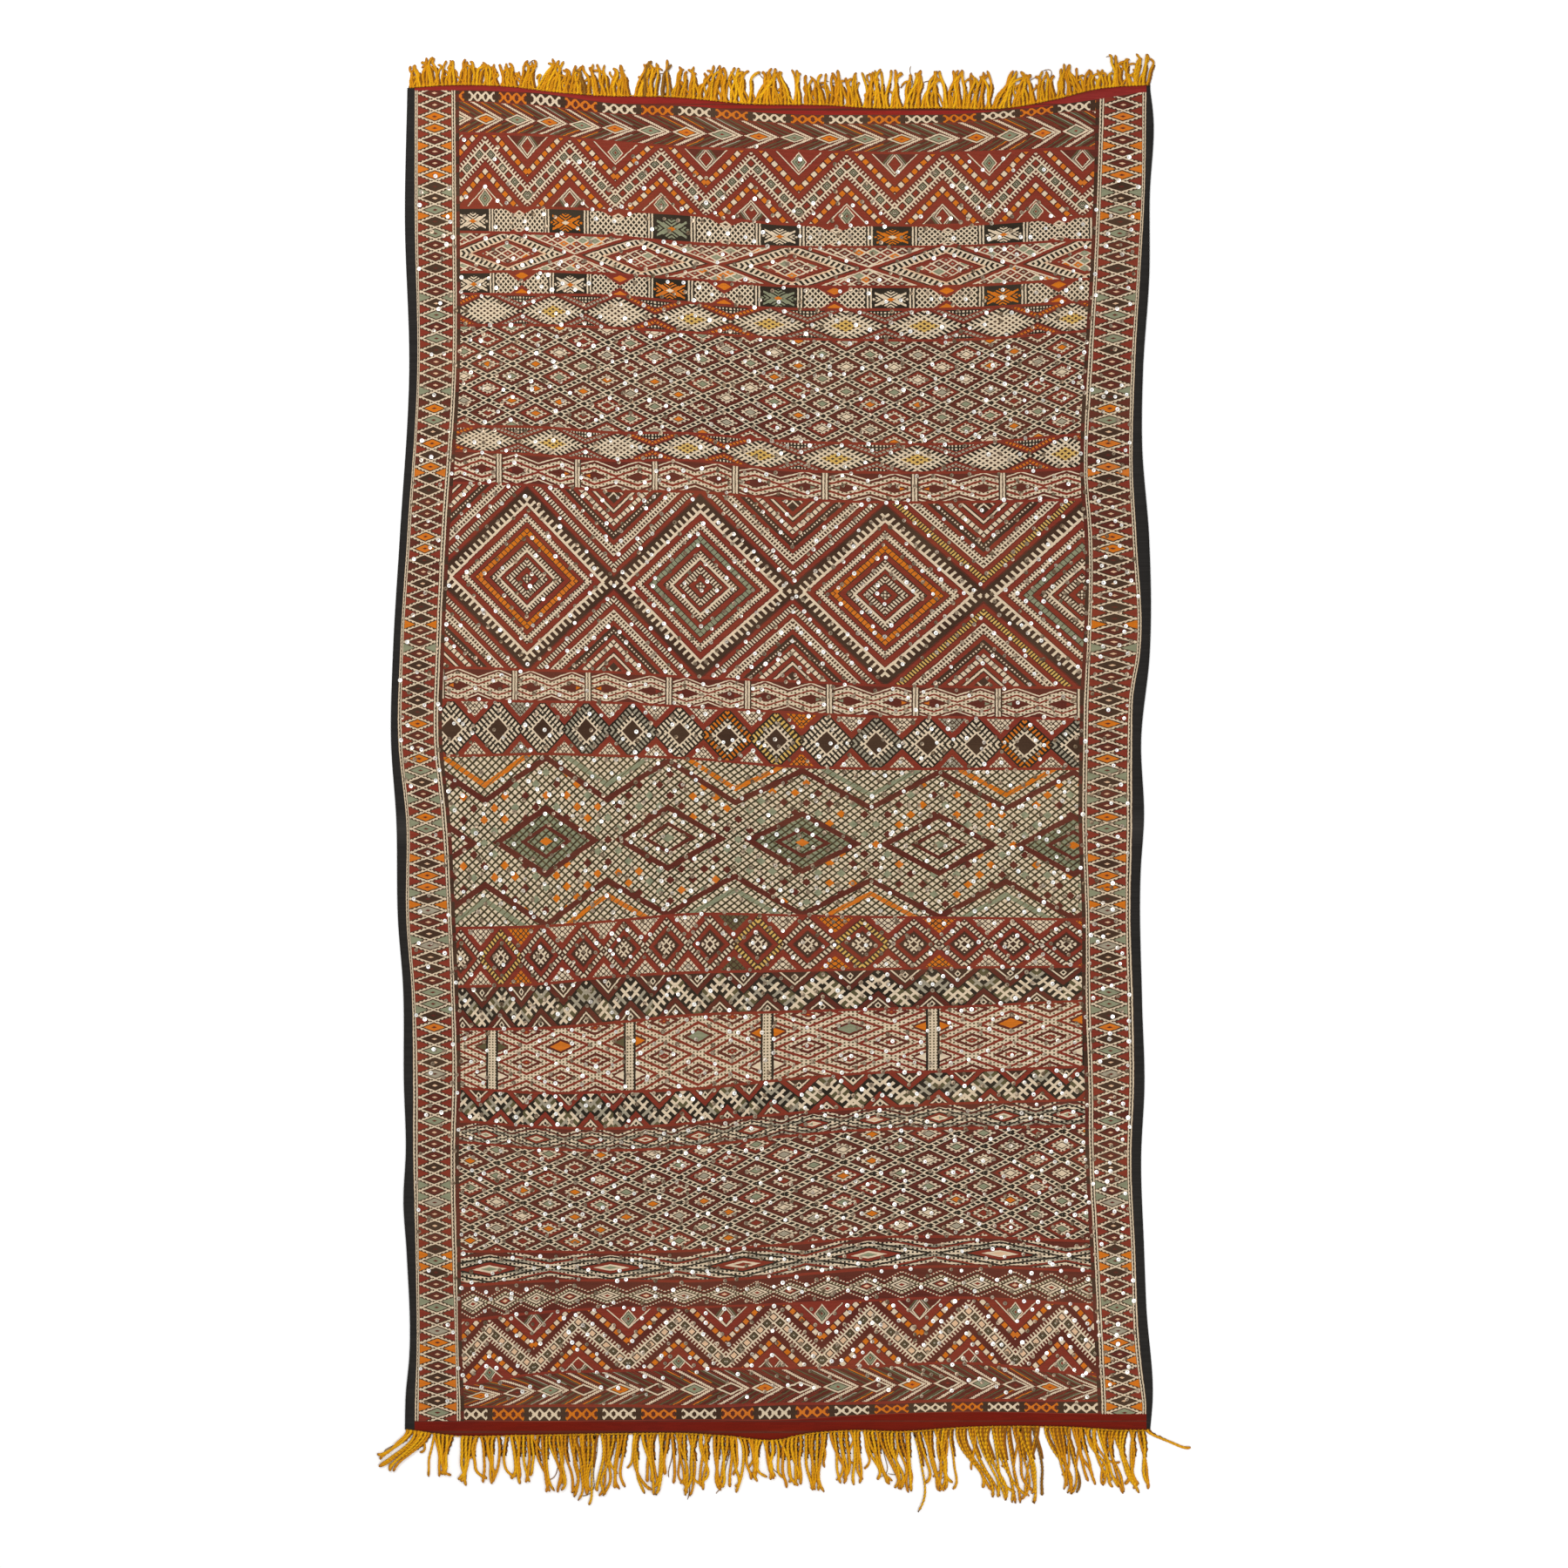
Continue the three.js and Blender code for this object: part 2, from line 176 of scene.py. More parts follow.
# %% Bands of the brocade
LINE_AT = (540, 620, 700, 790, 900, 1000, 1100, 1240)
FIRST_LINE = (104, 107.5, 118.5, 122, 131, 132, 131, 117)
BANDS = [
    {"name": "stars_top", "ends": (117, 122, 131, 134, 142, 143, 141, 128),
     "middles": (553, 588, 626, 666, 711, 755, 797, 840, 883, 927, 971, 1015, 1058, 1101, 1146,
                 1190, 1233)},
    {"name": "fishbone_top", "ends": (155, 157, 164, 171, 174, 177, 177, 172),
     "middles": (558, 594, 631, 668, 706, 747, 788, 829, 871, 912, 952, 993, 1035, 1078, 1121,
                 1159, 1197, 1235)},
    {"name": "zigzag_top", "ends": (240, 240, 243, 248, 259, 260, 260, 250),
     "middles": (557, 654, 759, 862, 972, 1082, 1189)},
    {"name": "star_boxes", "ends": (268, 270, 273, 281, 285, 285, 284, 277),
     "middles": (543, 649, 771, 895, 1024.5, 1152)},
    {"name": "key_lozenges", "ends": (314, 313, 316, 322, 330, 331, 330, 322),
     "middles": (583, 736, 909, 1086, 1245)},
    {"name": "net_boxes", "ends": (339, 340, 341, 349, 356, 357, 356, 348),
     "middles": (544, 654.5, 769, 893.5, 1022.5, 1151)},
    {"name": "lattice_upper", "ends": (375, 375, 378, 383, 390, 392, 392, 382),
     "middles": (560, 635, 710, 794, 883, 971, 1061, 1151, 1231)},
    {"name": "trellis_upper", "ends": (491, 492, 498, 499, 508, 511, 511, 500),
     "middles": (560, 615, 669.5, 724, 779)},
    {"name": "lattice_lower", "ends": (519, 524, 530, 530, 541, 544, 544, 540),
     "middles": (555, 635, 709, 789, 873, 960, 1053, 1142, 1223)},
    {"name": "braid_upper", "ends": (556, 559, 565, 566, 574, 578, 578, 575),
     "middles": (573, 663, 752, 844, 947, 1050, 1151, 1245)},
    {"name": "medallions", "ends": (768, 771, 773, 779, 783, 788, 790, 791),
     "middles": (605, 804, 1016, 1242)},
    {"name": "braid_lower", "ends": (805, 807, 808, 813, 819, 824, 825, 827),
     "middles": (591, 675, 768, 858, 952, 1051, 1146, 1240)},
    {"name": "tick_diamonds", "ends": (869, 867, 869, 872, 881, 884, 884, 884),
     "middles": (518, 572, 623, 673, 726, 780, 835, 891, 949, 1006, 1065, 1121, 1176, 1237)},
    {"name": "knot_field", "ends": (1067, 1065, 1059, 1051, 1052, 1054, 1055, 1057),
     "middles": (627, 767, 921, 1078, 1232)},
    {"name": "tick_lattice", "ends": (1134, 1131, 1123, 1118, 1116, 1114, 1112, 1111),
     "middles": (575, 621, 670, 716, 765, 815, 870, 927, 990, 1049, 1107, 1163, 1224)},
    {"name": "barbs_upper", "ends": (1183, 1182, 1176, 1167, 1163, 1160, 1157, 1150),
     "middles": (576, 621, 673, 724, 775, 826, 881, 944, 1008, 1070, 1129, 1190)},
    {"name": "wide_braid", "ends": (1251, 1256, 1255, 1252, 1241, 1233, 1231, 1226),
     "middles": (565, 723, 880, 1071, 1250)},
    {"name": "barbs_lower", "ends": (1289, 1295, 1297, 1291, 1280, 1273, 1268, 1264),
     "middles": (575, 626, 678, 730, 784, 835, 885, 949, 1010, 1078, 1137, 1195)},
    {"name": "small_key", "ends": (1313, 1320, 1322, 1318, 1306, 1298, 1297, 1294),
     "middles": (500, 616, 741, 862, 1004, 1152)},
    {"name": "trellis_lower", "ends": (1438, 1438, 1439, 1437, 1430, 1422, 1421, 1426),
     "middles": (600, 660, 719, 780, 836, 900, 968, 1034, 1098, 1160, 1219)},
    {"name": "strands", "ends": (1477, 1472, 1471, 1472, 1466, 1458, 1455, 1460),
     "middles": (562, 701, 853, 997, 1148)},
    {"name": "thin_diamonds", "ends": (1517, 1508, 1503, 1502, 1498, 1494, 1491, 1499),
     "middles": (543, 580, 616, 654, 697, 742, 785, 832, 869, 907, 950, 995, 1035, 1080, 1122,
                 1165, 1207, 1250)},
    {"name": "zigzag_bottom", "ends": (1590, 1578, 1575, 1573, 1572, 1570, 1566, 1579),
     "middles": (562, 664, 779, 888, 999, 1112, 1219)},
    {"name": "fishbone_bottom", "ends": (1616, 1615, 1615, 1616, 1613, 1612, 1609, 1609),
     "middles": (552, 594, 632, 670, 712, 755, 797, 839, 878, 918, 962, 1006, 1047, 1088, 1127,
                 1166, 1205)},
    {"name": "stars_bottom", "ends": (1631, 1632, 1631, 1630, 1630, 1624, 1621, 1623),
     "middles": (541, 584, 625, 668, 710, 756, 803, 847, 889, 932, 978, 1024, 1068, 1111, 1151,
                 1195, 1241)},
]
TOP_RIGHT_CORNER = (1312, 106)  # the first line climbs on to this point, across and down
line_rows = [FIRST_LINE] + [band["ends"] for band in BANDS]
LINES = [smooth_line(list(zip(LINE_AT, row))) for row in line_rows]
LINES[0] = smooth_line(list(zip(LINE_AT, FIRST_LINE)) + [TOP_RIGHT_CORNER])
for above, band in zip(line_rows, BANDS):
    band["height"] = float(np.mean(np.subtract(band["ends"], above)))
    band["pitch"] = float(np.mean(np.diff(band["middles"])))
print(len(BANDS), "bands")

# %% [markdown]
# The cloth is one flat sheet. It could be cut from a plane by its outline, but then the bands
# could not bend with the weave. So it is a grid, whose rows are pulled onto the band lines and
# whose columns are pulled onto the side lines, as the wefts and warps of the real one lie. This
# step counts the rows and columns that each band and each border needs.

# %% Rows and columns of the sheet
COURSE = 6.3  # height of one row of the grid, in steps
COLUMN = 4.9  # width of one column, in steps
TOP_HEM_ROWS = 2
BOTTOM_HEM_ROWS = 4
SELVEDGE_COLUMNS = 2
LINE_COLUMNS = 1
GUARD_COLUMNS = 7

band_rows = [max(3, round(band["height"] / COURSE)) for band in BANDS]
row_marks = []  # (line above, line below, share of the way down), from the top
row_marks += [("top", 0, i / TOP_HEM_ROWS) for i in range(TOP_HEM_ROWS)]
for number, count in enumerate(band_rows):
    row_marks += [(number, number + 1, i / count) for i in range(count)]
row_marks += [(len(BANDS), "bottom", i / BOTTOM_HEM_ROWS) for i in range(BOTTOM_HEM_ROWS + 1)]
row_zone = np.repeat(np.arange(-1, len(BANDS) + 1), [TOP_HEM_ROWS] + band_rows + [BOTTOM_HEM_ROWS])
ROWS = len(row_marks) - 1

FIELD_WIDTH = 715  # the bands' width, in steps
field_columns = round(FIELD_WIDTH / COLUMN)
column_counts = [SELVEDGE_COLUMNS, LINE_COLUMNS, GUARD_COLUMNS, LINE_COLUMNS, 1, field_columns,
                 1, LINE_COLUMNS, GUARD_COLUMNS, LINE_COLUMNS, SELVEDGE_COLUMNS]
COLUMN_ZONES = ["black", "cream_line", "guard", "cream_line", "dark", "field",
                "dark", "cream_line", "guard", "cream_line", "black"]
column_zone = np.repeat(np.arange(len(column_counts)), column_counts)
column_share = np.concatenate([np.arange(n) / n for n in column_counts] + [[0.0]])
column_zone_of_line = np.append(column_zone, len(column_counts))
COLUMNS = len(column_zone)
print("grid of", COLUMNS, "by", ROWS)

# %% [markdown]
# A row bends with the bands and a column bends with the borders, so where they cross depends on
# both. It could be solved exactly, but three rounds of going along the row and then along the
# column come close enough.

# %% Where a row and a column cross
ROUNDS = 3
FIRST_GUESS = (464, 1320)  # the left and the right edge, about, in steps


def side_lines(down):
    """The twelve upright lines at a height of the view, from left to right, in steps."""
    edge_left = across_steps(LEFT_EDGE(along_m(down) / MM) * MM)
    edge_right = across_steps(RIGHT_EDGE(along_m(down) / MM) * MM)
    left = [line(down) for line in left_lines]
    right = [line(down) for line in right_lines]
    inner = [left[3] + DARK_STRIP, right[0] - DARK_STRIP]
    return np.array([edge_left, *left, *inner, *right, edge_right])


def row_height(row, across):
    above, below, share = row_marks[row]
    ends = []
    for line in (above, below):
        if line == "top":
            ends.append(along_steps(TOP_EDGE(across_m(across) / MM) * MM))
        elif line == "bottom":
            ends.append(along_steps(BOTTOM_EDGE(across_m(across) / MM) * MM))
        else:
            ends.append(LINES[line](across))
    return ends[0] + (ends[1] - ends[0]) * share


grid_across = np.zeros((ROWS + 1, COLUMNS + 1))
grid_down = np.zeros((ROWS + 1, COLUMNS + 1))
column = np.arange(COLUMNS + 1)
for row in range(ROWS + 1):
    across = np.linspace(*FIRST_GUESS, COLUMNS + 1)
    for _ in range(ROUNDS):
        down = row_height(row, across)
        lines = side_lines(down)
        start = lines[column_zone_of_line, column]
        end = lines[np.minimum(column_zone_of_line + 1, len(column_counts)), column]
        across = start + (end - start) * column_share
    grid_across[row] = across
    grid_down[row] = row_height(row, across)
print("rug is", round(float(np.ptp(grid_across))), "by", round(float(np.ptp(grid_down))), "steps")

# %% [markdown]
# The sheet is a flat grid with its points moved to those crossings. Solidify gives it a reverse
# side and closed edges, because a woven rug has a thickness that shows where the light grazes it.

# %% The sheet itself
FIELD_THICK = 2.9 * MM
EDGE_THICK = 2.3 * MM
HEM_THICK = 2.1 * MM
PUCKER = 0.35 * MM


def no_selection():
    if bpy.context.object and bpy.context.object.mode != "OBJECT":
        bpy.ops.object.mode_set(mode="OBJECT")
    bpy.ops.object.select_all(action="DESELECT")


def pucker(x, y):
    """How far the cloth lifts: long soft waves, from flat up to the height of PUCKER."""
    wave = np.sin(2 * math.pi * x / 0.31 + 1.5 * np.sin(2 * math.pi * y / 0.53))
    return PUCKER * 0.5 * (1 + wave * np.sin(2 * math.pi * y / 0.19 + 1.1))


no_selection()
bpy.ops.mesh.primitive_grid_add(x_subdivisions=COLUMNS, y_subdivisions=ROWS, size=2)
cloth = bpy.context.object
cloth.name = cloth.data.name = "kilim_weave"
mesh = cloth.data
place = np.zeros(len(mesh.vertices) * 3)
mesh.vertices.foreach_get("co", place)
place = place.reshape(-1, 3)
col = np.rint((place[:, 0] + 1) / 2 * COLUMNS).astype(int)
row = ROWS - np.rint((place[:, 1] + 1) / 2 * ROWS).astype(int)
x, y = across_m(grid_across[row, col]), along_m(grid_down[row, col])
SHEET_POINTS = len(place)
place[:, 0], place[:, 1], place[:, 2] = x, y, FIELD_THICK
mesh.vertices.foreach_set("co", place.ravel())
mesh.update()
solid = cloth.modifiers.new("thickness", "SOLIDIFY")
solid.thickness = FIELD_THICK
solid.offset = -1
bpy.ops.object.modifier_apply(modifier=solid.name)
print("sheet faces", len(mesh.polygons))

# %% [markdown]
# Brocade stands proud of the plain weave beside it. So the field is thickest and cobbled a
# little, a furrow runs along the line between two bands, and the edges and the hems are thinner.
# Sculpting would do this too, but a sum on the row and the column puts each furrow in its place.

# %% Thickness and furrows of the face
FURROW = 0.45 * MM
COBBLES = 0.25 * MM
band_start = np.cumsum([0, TOP_HEM_ROWS] + band_rows)
on_line = np.isin(row, band_start)
in_hem = (row < TOP_HEM_ROWS) | (row > ROWS - BOTTOM_HEM_ROWS)
in_edge = (col <= SELVEDGE_COLUMNS) | (col >= COLUMNS - SELVEDGE_COLUMNS)
thick = np.full(SHEET_POINTS, FIELD_THICK)
thick -= on_line * FURROW
thick += (~on_line & ~in_edge & ~in_hem) * COBBLES * np.sin(row * 2.1 + col * 0.9)
thick[in_edge] = EDGE_THICK
thick[in_hem] = HEM_THICK
lift = pucker(x, y)
all_places = np.zeros(len(mesh.vertices) * 3)
mesh.vertices.foreach_get("co", all_places)
all_places = all_places.reshape(-1, 3)
all_places[:SHEET_POINTS, 2] = thick + lift
all_places[SHEET_POINTS:, 0] = x
all_places[SHEET_POINTS:, 1] = y
all_places[SHEET_POINTS:, 2] = lift * 0.3
mesh.vertices.foreach_set("co", all_places.ravel())
mesh.update()
mesh.polygons.foreach_set("use_smooth", np.ones(len(mesh.polygons), dtype=bool))
print("thickness from", round(thick.min() / MM, 2), "to", round(thick.max() / MM, 2), "mm")

# %% [markdown]
# A pattern needs to know where it is in its band. The sheet carries a map for that: across, it
# counts motifs, so that 3.5 is half way between the fourth and the fifth, and down, it goes
# from 0 to 1 through the band. In the borders it counts steps down the rug instead. The map
# could be laid flat over the rug, but this one bends with the weave, as the motifs do.

# %% Map of the weave, and which face belongs to which zone


def motif_count(across, middles):
    """Counts motifs from left to right, and goes on evenly past the first and the last."""
    middles = np.array(middles, dtype=float)
    count = np.interp(across, middles, np.arange(len(middles)))
    before = (across - middles[0]) / (middles[1] - middles[0])
    after = len(middles) - 1 + (across - middles[-1]) / (middles[-1] - middles[-2])
    return np.where(across < middles[0], before, np.where(across > middles[-1], after, count))


corner_vertex = np.zeros(len(mesh.loops), dtype=int)
mesh.loops.foreach_get("vertex_index", corner_vertex)
face_start = np.zeros(len(mesh.polygons), dtype=int)
mesh.polygons.foreach_get("loop_start", face_start)
corner_row = row[corner_vertex % SHEET_POINTS]
corner_col = col[corner_vertex % SHEET_POINTS]
face_row = np.minimum(np.minimum.reduceat(corner_row, face_start), ROWS - 1)
face_col = np.minimum(np.minimum.reduceat(corner_col, face_start), COLUMNS - 1)
face_under = np.minimum.reduceat(corner_vertex, face_start) >= SHEET_POINTS
face_band = row_zone[face_row]
face_side = column_zone[face_col]
corners_of_face = np.diff(np.append(face_start, len(corner_vertex)))
corner_band = np.repeat(face_band, corners_of_face)
corner_side = np.repeat(face_side, corners_of_face)
corner_across = grid_across[corner_row, corner_col]
corner_down = grid_down[corner_row, corner_col]

zone_start = np.cumsum([0] + column_counts)
share_across = (corner_col - zone_start[corner_side]) / np.array(column_counts)[corner_side]
band_count = np.array([TOP_HEM_ROWS] + band_rows + [BOTTOM_HEM_ROWS])
share_down = (corner_row - band_start[corner_band + 1]) / band_count[corner_band + 1]
map_across, map_down = share_across.copy(), corner_down.copy()
in_field = corner_side == COLUMN_ZONES.index("field")
for number, band in enumerate(BANDS):
    here = in_field & (corner_band == number)
    map_across[here] = motif_count(corner_across[here], band["middles"])
    map_down[here] = share_down[here]
weave_map = mesh.uv_layers.new(name="weave")
weave_map.data.foreach_set("uv", np.column_stack([map_across, map_down]).ravel())
print("map of", len(corner_vertex), "corners")

# %% [markdown]
# Every colour of the rug is a dyed yarn, and every pattern is a rule about where the weaver
# changes yarn. The patterns could be painted on a picture and laid over the cloth, but a rule
# stays sharp from near and far, and fits a band of any height. So a finish here works out a yarn
# number at each point, and a dye table turns it into a colour. The rules are sums on a few
# readings, such as how far a point is from a diamond's middle, and the class below lets them be
# written as plain sums.

# %% Readings, and the sums on them


class Reading:
    """A number that a finish works out at each point of the wool."""

    def __init__(self, finish, socket):
        self.finish = finish
        self.socket = socket

    def other(self, output):
        """Another output of the node that this reading comes from."""
        return Reading(self.finish, self.socket.node.outputs[output])

    def sum_with(self, sort, *others):
        terms = {0: self, **dict(enumerate(others, 1))}
        return self.finish.add("ShaderNodeMath", {"operation": sort}, terms)

    def __add__(self, other):
        return self.sum_with("ADD", other)

    __radd__ = __add__

    def __sub__(self, other):
        return self.sum_with("SUBTRACT", other)

    def __rsub__(self, other):
        return self.finish.add("ShaderNodeMath", {"operation": "SUBTRACT"}, {0: other, 1: self})

    def __mul__(self, other):
        return self.sum_with("MULTIPLY", other)

    __rmul__ = __mul__

    def __truediv__(self, other):
        return self.sum_with("DIVIDE", other)

    def __mod__(self, other):
        return self.sum_with("FLOORED_MODULO", other)

    def __lt__(self, other):
        return self.sum_with("LESS_THAN", other)

    def __gt__(self, other):
        return self.sum_with("GREATER_THAN", other)

    def __abs__(self):
        return self.sum_with("ABSOLUTE")

    def floor(self):
        return self.sum_with("FLOOR")

    def most(self, other):
        return self.sum_with("MAXIMUM", other)


class Finish:
    """One finish of the rug, as a material that is built a node at a time."""

    def __init__(self, name):
        self.material = bpy.data.materials.new(name)
        self.material.use_nodes = True
        self.tree = self.material.node_tree
        self.tree.nodes.clear()
        self.place = self.add("ShaderNodeTexCoord", output=3)  # the piece's own coordinates

    def add(self, sort, settings=None, inputs=None, output=0):
        node = self.tree.nodes.new(sort)
        for name, value in (settings or {}).items():
            if name == "stops":
                ramp = node.color_ramp
                while len(ramp.elements) < len(value):
                    ramp.elements.new(1.0)
                for element, (position, colour) in zip(ramp.elements, value):
                    element.position = position
                    element.color = (*colour, 1.0)
            elif name == "between_stops":
                node.color_ramp.interpolation = value
            else:
                setattr(node, name, value)
        for name, value in (inputs or {}).items():
            if isinstance(value, Reading):
                self.tree.links.new(value.socket, node.inputs[name])
            else:
                node.inputs[name].default_value = value
        return Reading(self, node.outputs[output]) if len(node.outputs) else None


# %% [markdown]
# A few small tools do what a weaver's chart does. One picks between two yarns, one is a stair
# that gives each ring of a motif its yarn, one throws dice that always fall the same way at the
# same place, and the last two find and fill the lettered places that a stair leaves open.

# %% Tools for the charts
TOP_NUMBER = 32  # no yarn or letter has a number above this
REST = 999  # the last row of a stair takes all that is left
A, B, C, D = 20, 21, 22, 23  # letters for the places of a stair that another rule fills in


def pick(mask, yes, no):
    """One yarn where the mask is 1, another where it is 0."""
    return mask.finish.add("ShaderNodeMix", {"data_type": "FLOAT"}, {0: mask, 2: no, 3: yes})


def steps(value, table):
    """A stair: each row of the table is (up to this reading, this yarn)."""
    ends = [row[0] for row in table[:-1]]
    reach = 1.02 * ends[-1]
    stops = []
    for start, (_, number) in zip([0.0] + ends, table):
        grey = number / TOP_NUMBER
        stops.append((max(start, 0.0) / reach, (grey, grey, grey)))
    settings = {"between_stops": "CONSTANT", "stops": stops}
    return value.finish.add("ShaderNodeValToRGB", settings, {0: value / reach}) * TOP_NUMBER


def dice(a, b, throw=0.0):
    """A number from 0 to 1 that looks like chance, always the same for the same a and b."""
    finish = a.finish if isinstance(a, Reading) else b.finish
    key = finish.add("ShaderNodeCombineXYZ", None, {0: a, 1: b, 2: throw})
    return finish.add("ShaderNodeTexWhiteNoise", {"noise_dimensions": "3D"}, {"Vector": key})


def is_place(code, place):
    return (code > place - 0.5) * (code < place + 0.5)


def fill(code, yarns):
    """Gives each lettered place its own yarn or rule."""
    filled = code
    for letter, yarn in yarns.items():
        filled = pick(is_place(code, letter), yarn, filled)
    return filled


# %% [markdown]
# Thirteen yarns dress the loom: black, a dark and an olive brown, four madder reds, an undyed
# cream, and orange, sage, grey, yellow and peach for the small fills. They are old vegetable
# shades, a little dusty. They are named once here, so that each chart reads like a list of yarns.

# %% Yarns
YARNS = {
    "black": (36, 30, 22), "brown": (60, 40, 28), "maroon": (86, 36, 26), "red": (120, 44, 30),
    "cream": (206, 186, 158), "orange": (192, 104, 26), "green": (126, 128, 102),
    "grey": (150, 140, 120), "yellow": (198, 160, 86), "peach": (208, 172, 138),
    "hem": (102, 20, 8), "olive": (84, 76, 50), "brick": (128, 36, 32),
}
BLACK, BROWN, MAROON, RED, CREAM, ORANGE, GREEN, GREY, YELLOW, PEACH, HEM, OLIVE, BRICK = range(13)
print(len(YARNS), "yarns")

# %% [markdown]
# Nearly every motif is a diamond, a zigzag or a row of teeth, and all of these come from folding:
# a fold lays both sides of a motif over each other, so that one slanting line draws four. In the
# charts x is how far a point is right of its motif's middle and y how far from the band's
# middle, in steps. A ring counts outwards through a diamond, and a run goes along its sides.

# %% Folds and motifs


def fold(value, period):
    """How far a reading is from the nearest multiple of a period."""
    return abs((value + period / 2) % period - period / 2)


def motif(across, pitch):
    """The motif's number, and how far a point is to its right, in steps."""
    number = (across + 0.5).floor()
    return number, (across - number) * pitch


def alternate(number, odd, even):
    return pick((number % 2) > 0.5, odd, even)


# %% [markdown]
# At both ends, next to the hems, a narrow dark band carries small stars: three thin crosses
# side by side, worked in cream and in orange by turns. They could be charted stitch by stitch,
# but one slanting line, folded across and down, draws all three.

# %% Band of stars


def stars(across, down, height, pitch):
    number, x = motif(across, pitch)
    y = abs(down - height / 2)
    cross = fold(x, 11.4)
    line = abs(y - cross * 0.84) < 1.4
    middle = (y < 1.0) * (cross < 3.4)
    star = line.most(middle) * (abs(x) < pitch * 0.43) * (y < height * 0.43)
    ground = pick(abs(x) < pitch * 0.4, alternate(number, MAROON, BROWN), BROWN)
    return pick(star, alternate(number, ORANGE, CREAM), ground)


# %% [markdown]
# Next comes a fishbone: slanting toothed lines that meet at the middle, with a small diamond
# between each two, orange and sage by turns. The slant is the distance from the middle added to
# the place across, and the rings of the diamond are laid over it last, as the weaver does.

# %% Band of fishbone


def fishbone(across, down, height, pitch, every=1):
    number, x = motif(across, pitch)
    y = abs(down - height / 2)
    half = pitch / 2
    slant = y * 2.07
    chevron = (across - 0.5) * pitch + slant
    off = fold(chevron, pitch)
    tooth = (across * pitch - slant) % 4.4 < 2.2
    line = off < 1.6 + tooth * 1.5
    throw = dice((chevron / pitch + 0.5).floor(), 3.0)
    bar = steps(throw, [(0.3, ORANGE), (0.5, GREEN), (0.75, RED), (1.0, GREY)])
    stripes = steps(off, [
        (5.2, MAROON), (6.6, BROWN), (8.8, RED), (10.2, BROWN), (12.6, A), (14.0, BROWN),
        (16.6, OLIVE), (REST, MAROON),
    ])
    ground = fill(stripes, {A: pick(y > height * 0.16, bar, MAROON)})
    rings = steps(abs(x) + y * 2.5, [
        (2.6, RED), (half * 0.5, A), (half * 0.6, BROWN), (half * 0.8, CREAM), (REST, B),
    ])
    heart = pick((number % every) < 0.5, alternate((number / every).floor(), GREEN, ORANGE), MAROON)
    return fill(rings, {A: heart, B: pick(line, CREAM, ground)})


# %% [markdown]
# The wide zigzag is the boldest band. Its stripe holds a chain of small squares between two
# cream lines with combs of short ticks, then a stripe of red, a row of orange and cream squares,
# and in each triangle a diamond. All of it is counted outwards from one zigzag line, so the
# lowest band of the rug, which has other yarns and a flatter line, can use the same chart.

# %% Bands of zigzag


def zigzag(across, down, height, pitch, fills=(GREEN, RED), rim=RED, line=RED, top=14.0, rise=1.02):
    number, x = motif(across, pitch)
    aside = abs(x)
    slope = down - top - aside * rise
    run = down - top + aside
    off = abs(slope)
    square = 14.9
    odd = (run / square + 0.5).floor() % 2 > 0.5
    chain = steps(fold(run, square).most(off * 1.18), [
        (1.6, D), (2.8, C), (4.2, A), (6.2, BROWN), (REST, CREAM),
    ])
    chain = fill(chain, {
        A: pick(odd, *fills), C: pick(odd, BROWN, rim), D: pick(odd, GREY, fills[1]),
    })
    comb = pick(run % 5.8 < 2.4, CREAM, MAROON)
    squares = pick(run % 10.0 < 2.4, MAROON, pick((run / 10.0).floor() % 2 > 0.5, ORANGE, CREAM))
    above = slope < 0
    panel = pick(above, across.floor(), number)
    odd_panel = (panel + above) % 2 > 0.5
    beside = pick(above, pitch / 2 - aside, aside)
    inward = pick(above, down, height - down)
    diamond = beside * 1.25 + abs(inward - 11.4)
    nested = steps(diamond, [
        (12.6, MAROON), (14.6, GREY), (15.8, BROWN), (18.0, OLIVE), (REST, MAROON),
    ])
    figure = steps(diamond, [
        (1.8, RED), (3.4, A), (4.6, B), (8.0, A), (9.2, BROWN), (11.2, CREAM), (REST, D),
    ])
    figure = fill(figure, {
        A: pick(odd_panel, RED, GREEN), B: pick(odd_panel, RED, BROWN),
        D: pick(odd_panel, nested, RED),
    })
    rings = steps(off, [
        (5.8, A), (7.6, CREAM), (13.2, B), (14.4, MAROON), (21.0, line), (22.4, MAROON),
        (29.6, C), (31.2, MAROON), (40.6, RED), (41.8, MAROON), (43.6, CREAM), (REST, D),
    ])
    return fill(rings, {A: chain, B: comb, C: squares, D: figure})


# %% [markdown]
# Two narrow bands are split into boxes by double cream bars. Every other box is dark and holds
# a star like a snowflake, in cream, orange or sage. The others hold a fine net with small dark
# eyes. Both bands share one chart, because they differ only in the corners of the net and in the
# order of the star's yarns.

# %% Bands of boxes
BOX_BARS = [(0.0, A), (0.8, BLACK), (2.6, CREAM), (4.4, BLACK), (6.2, CREAM), (8.0, BLACK)]


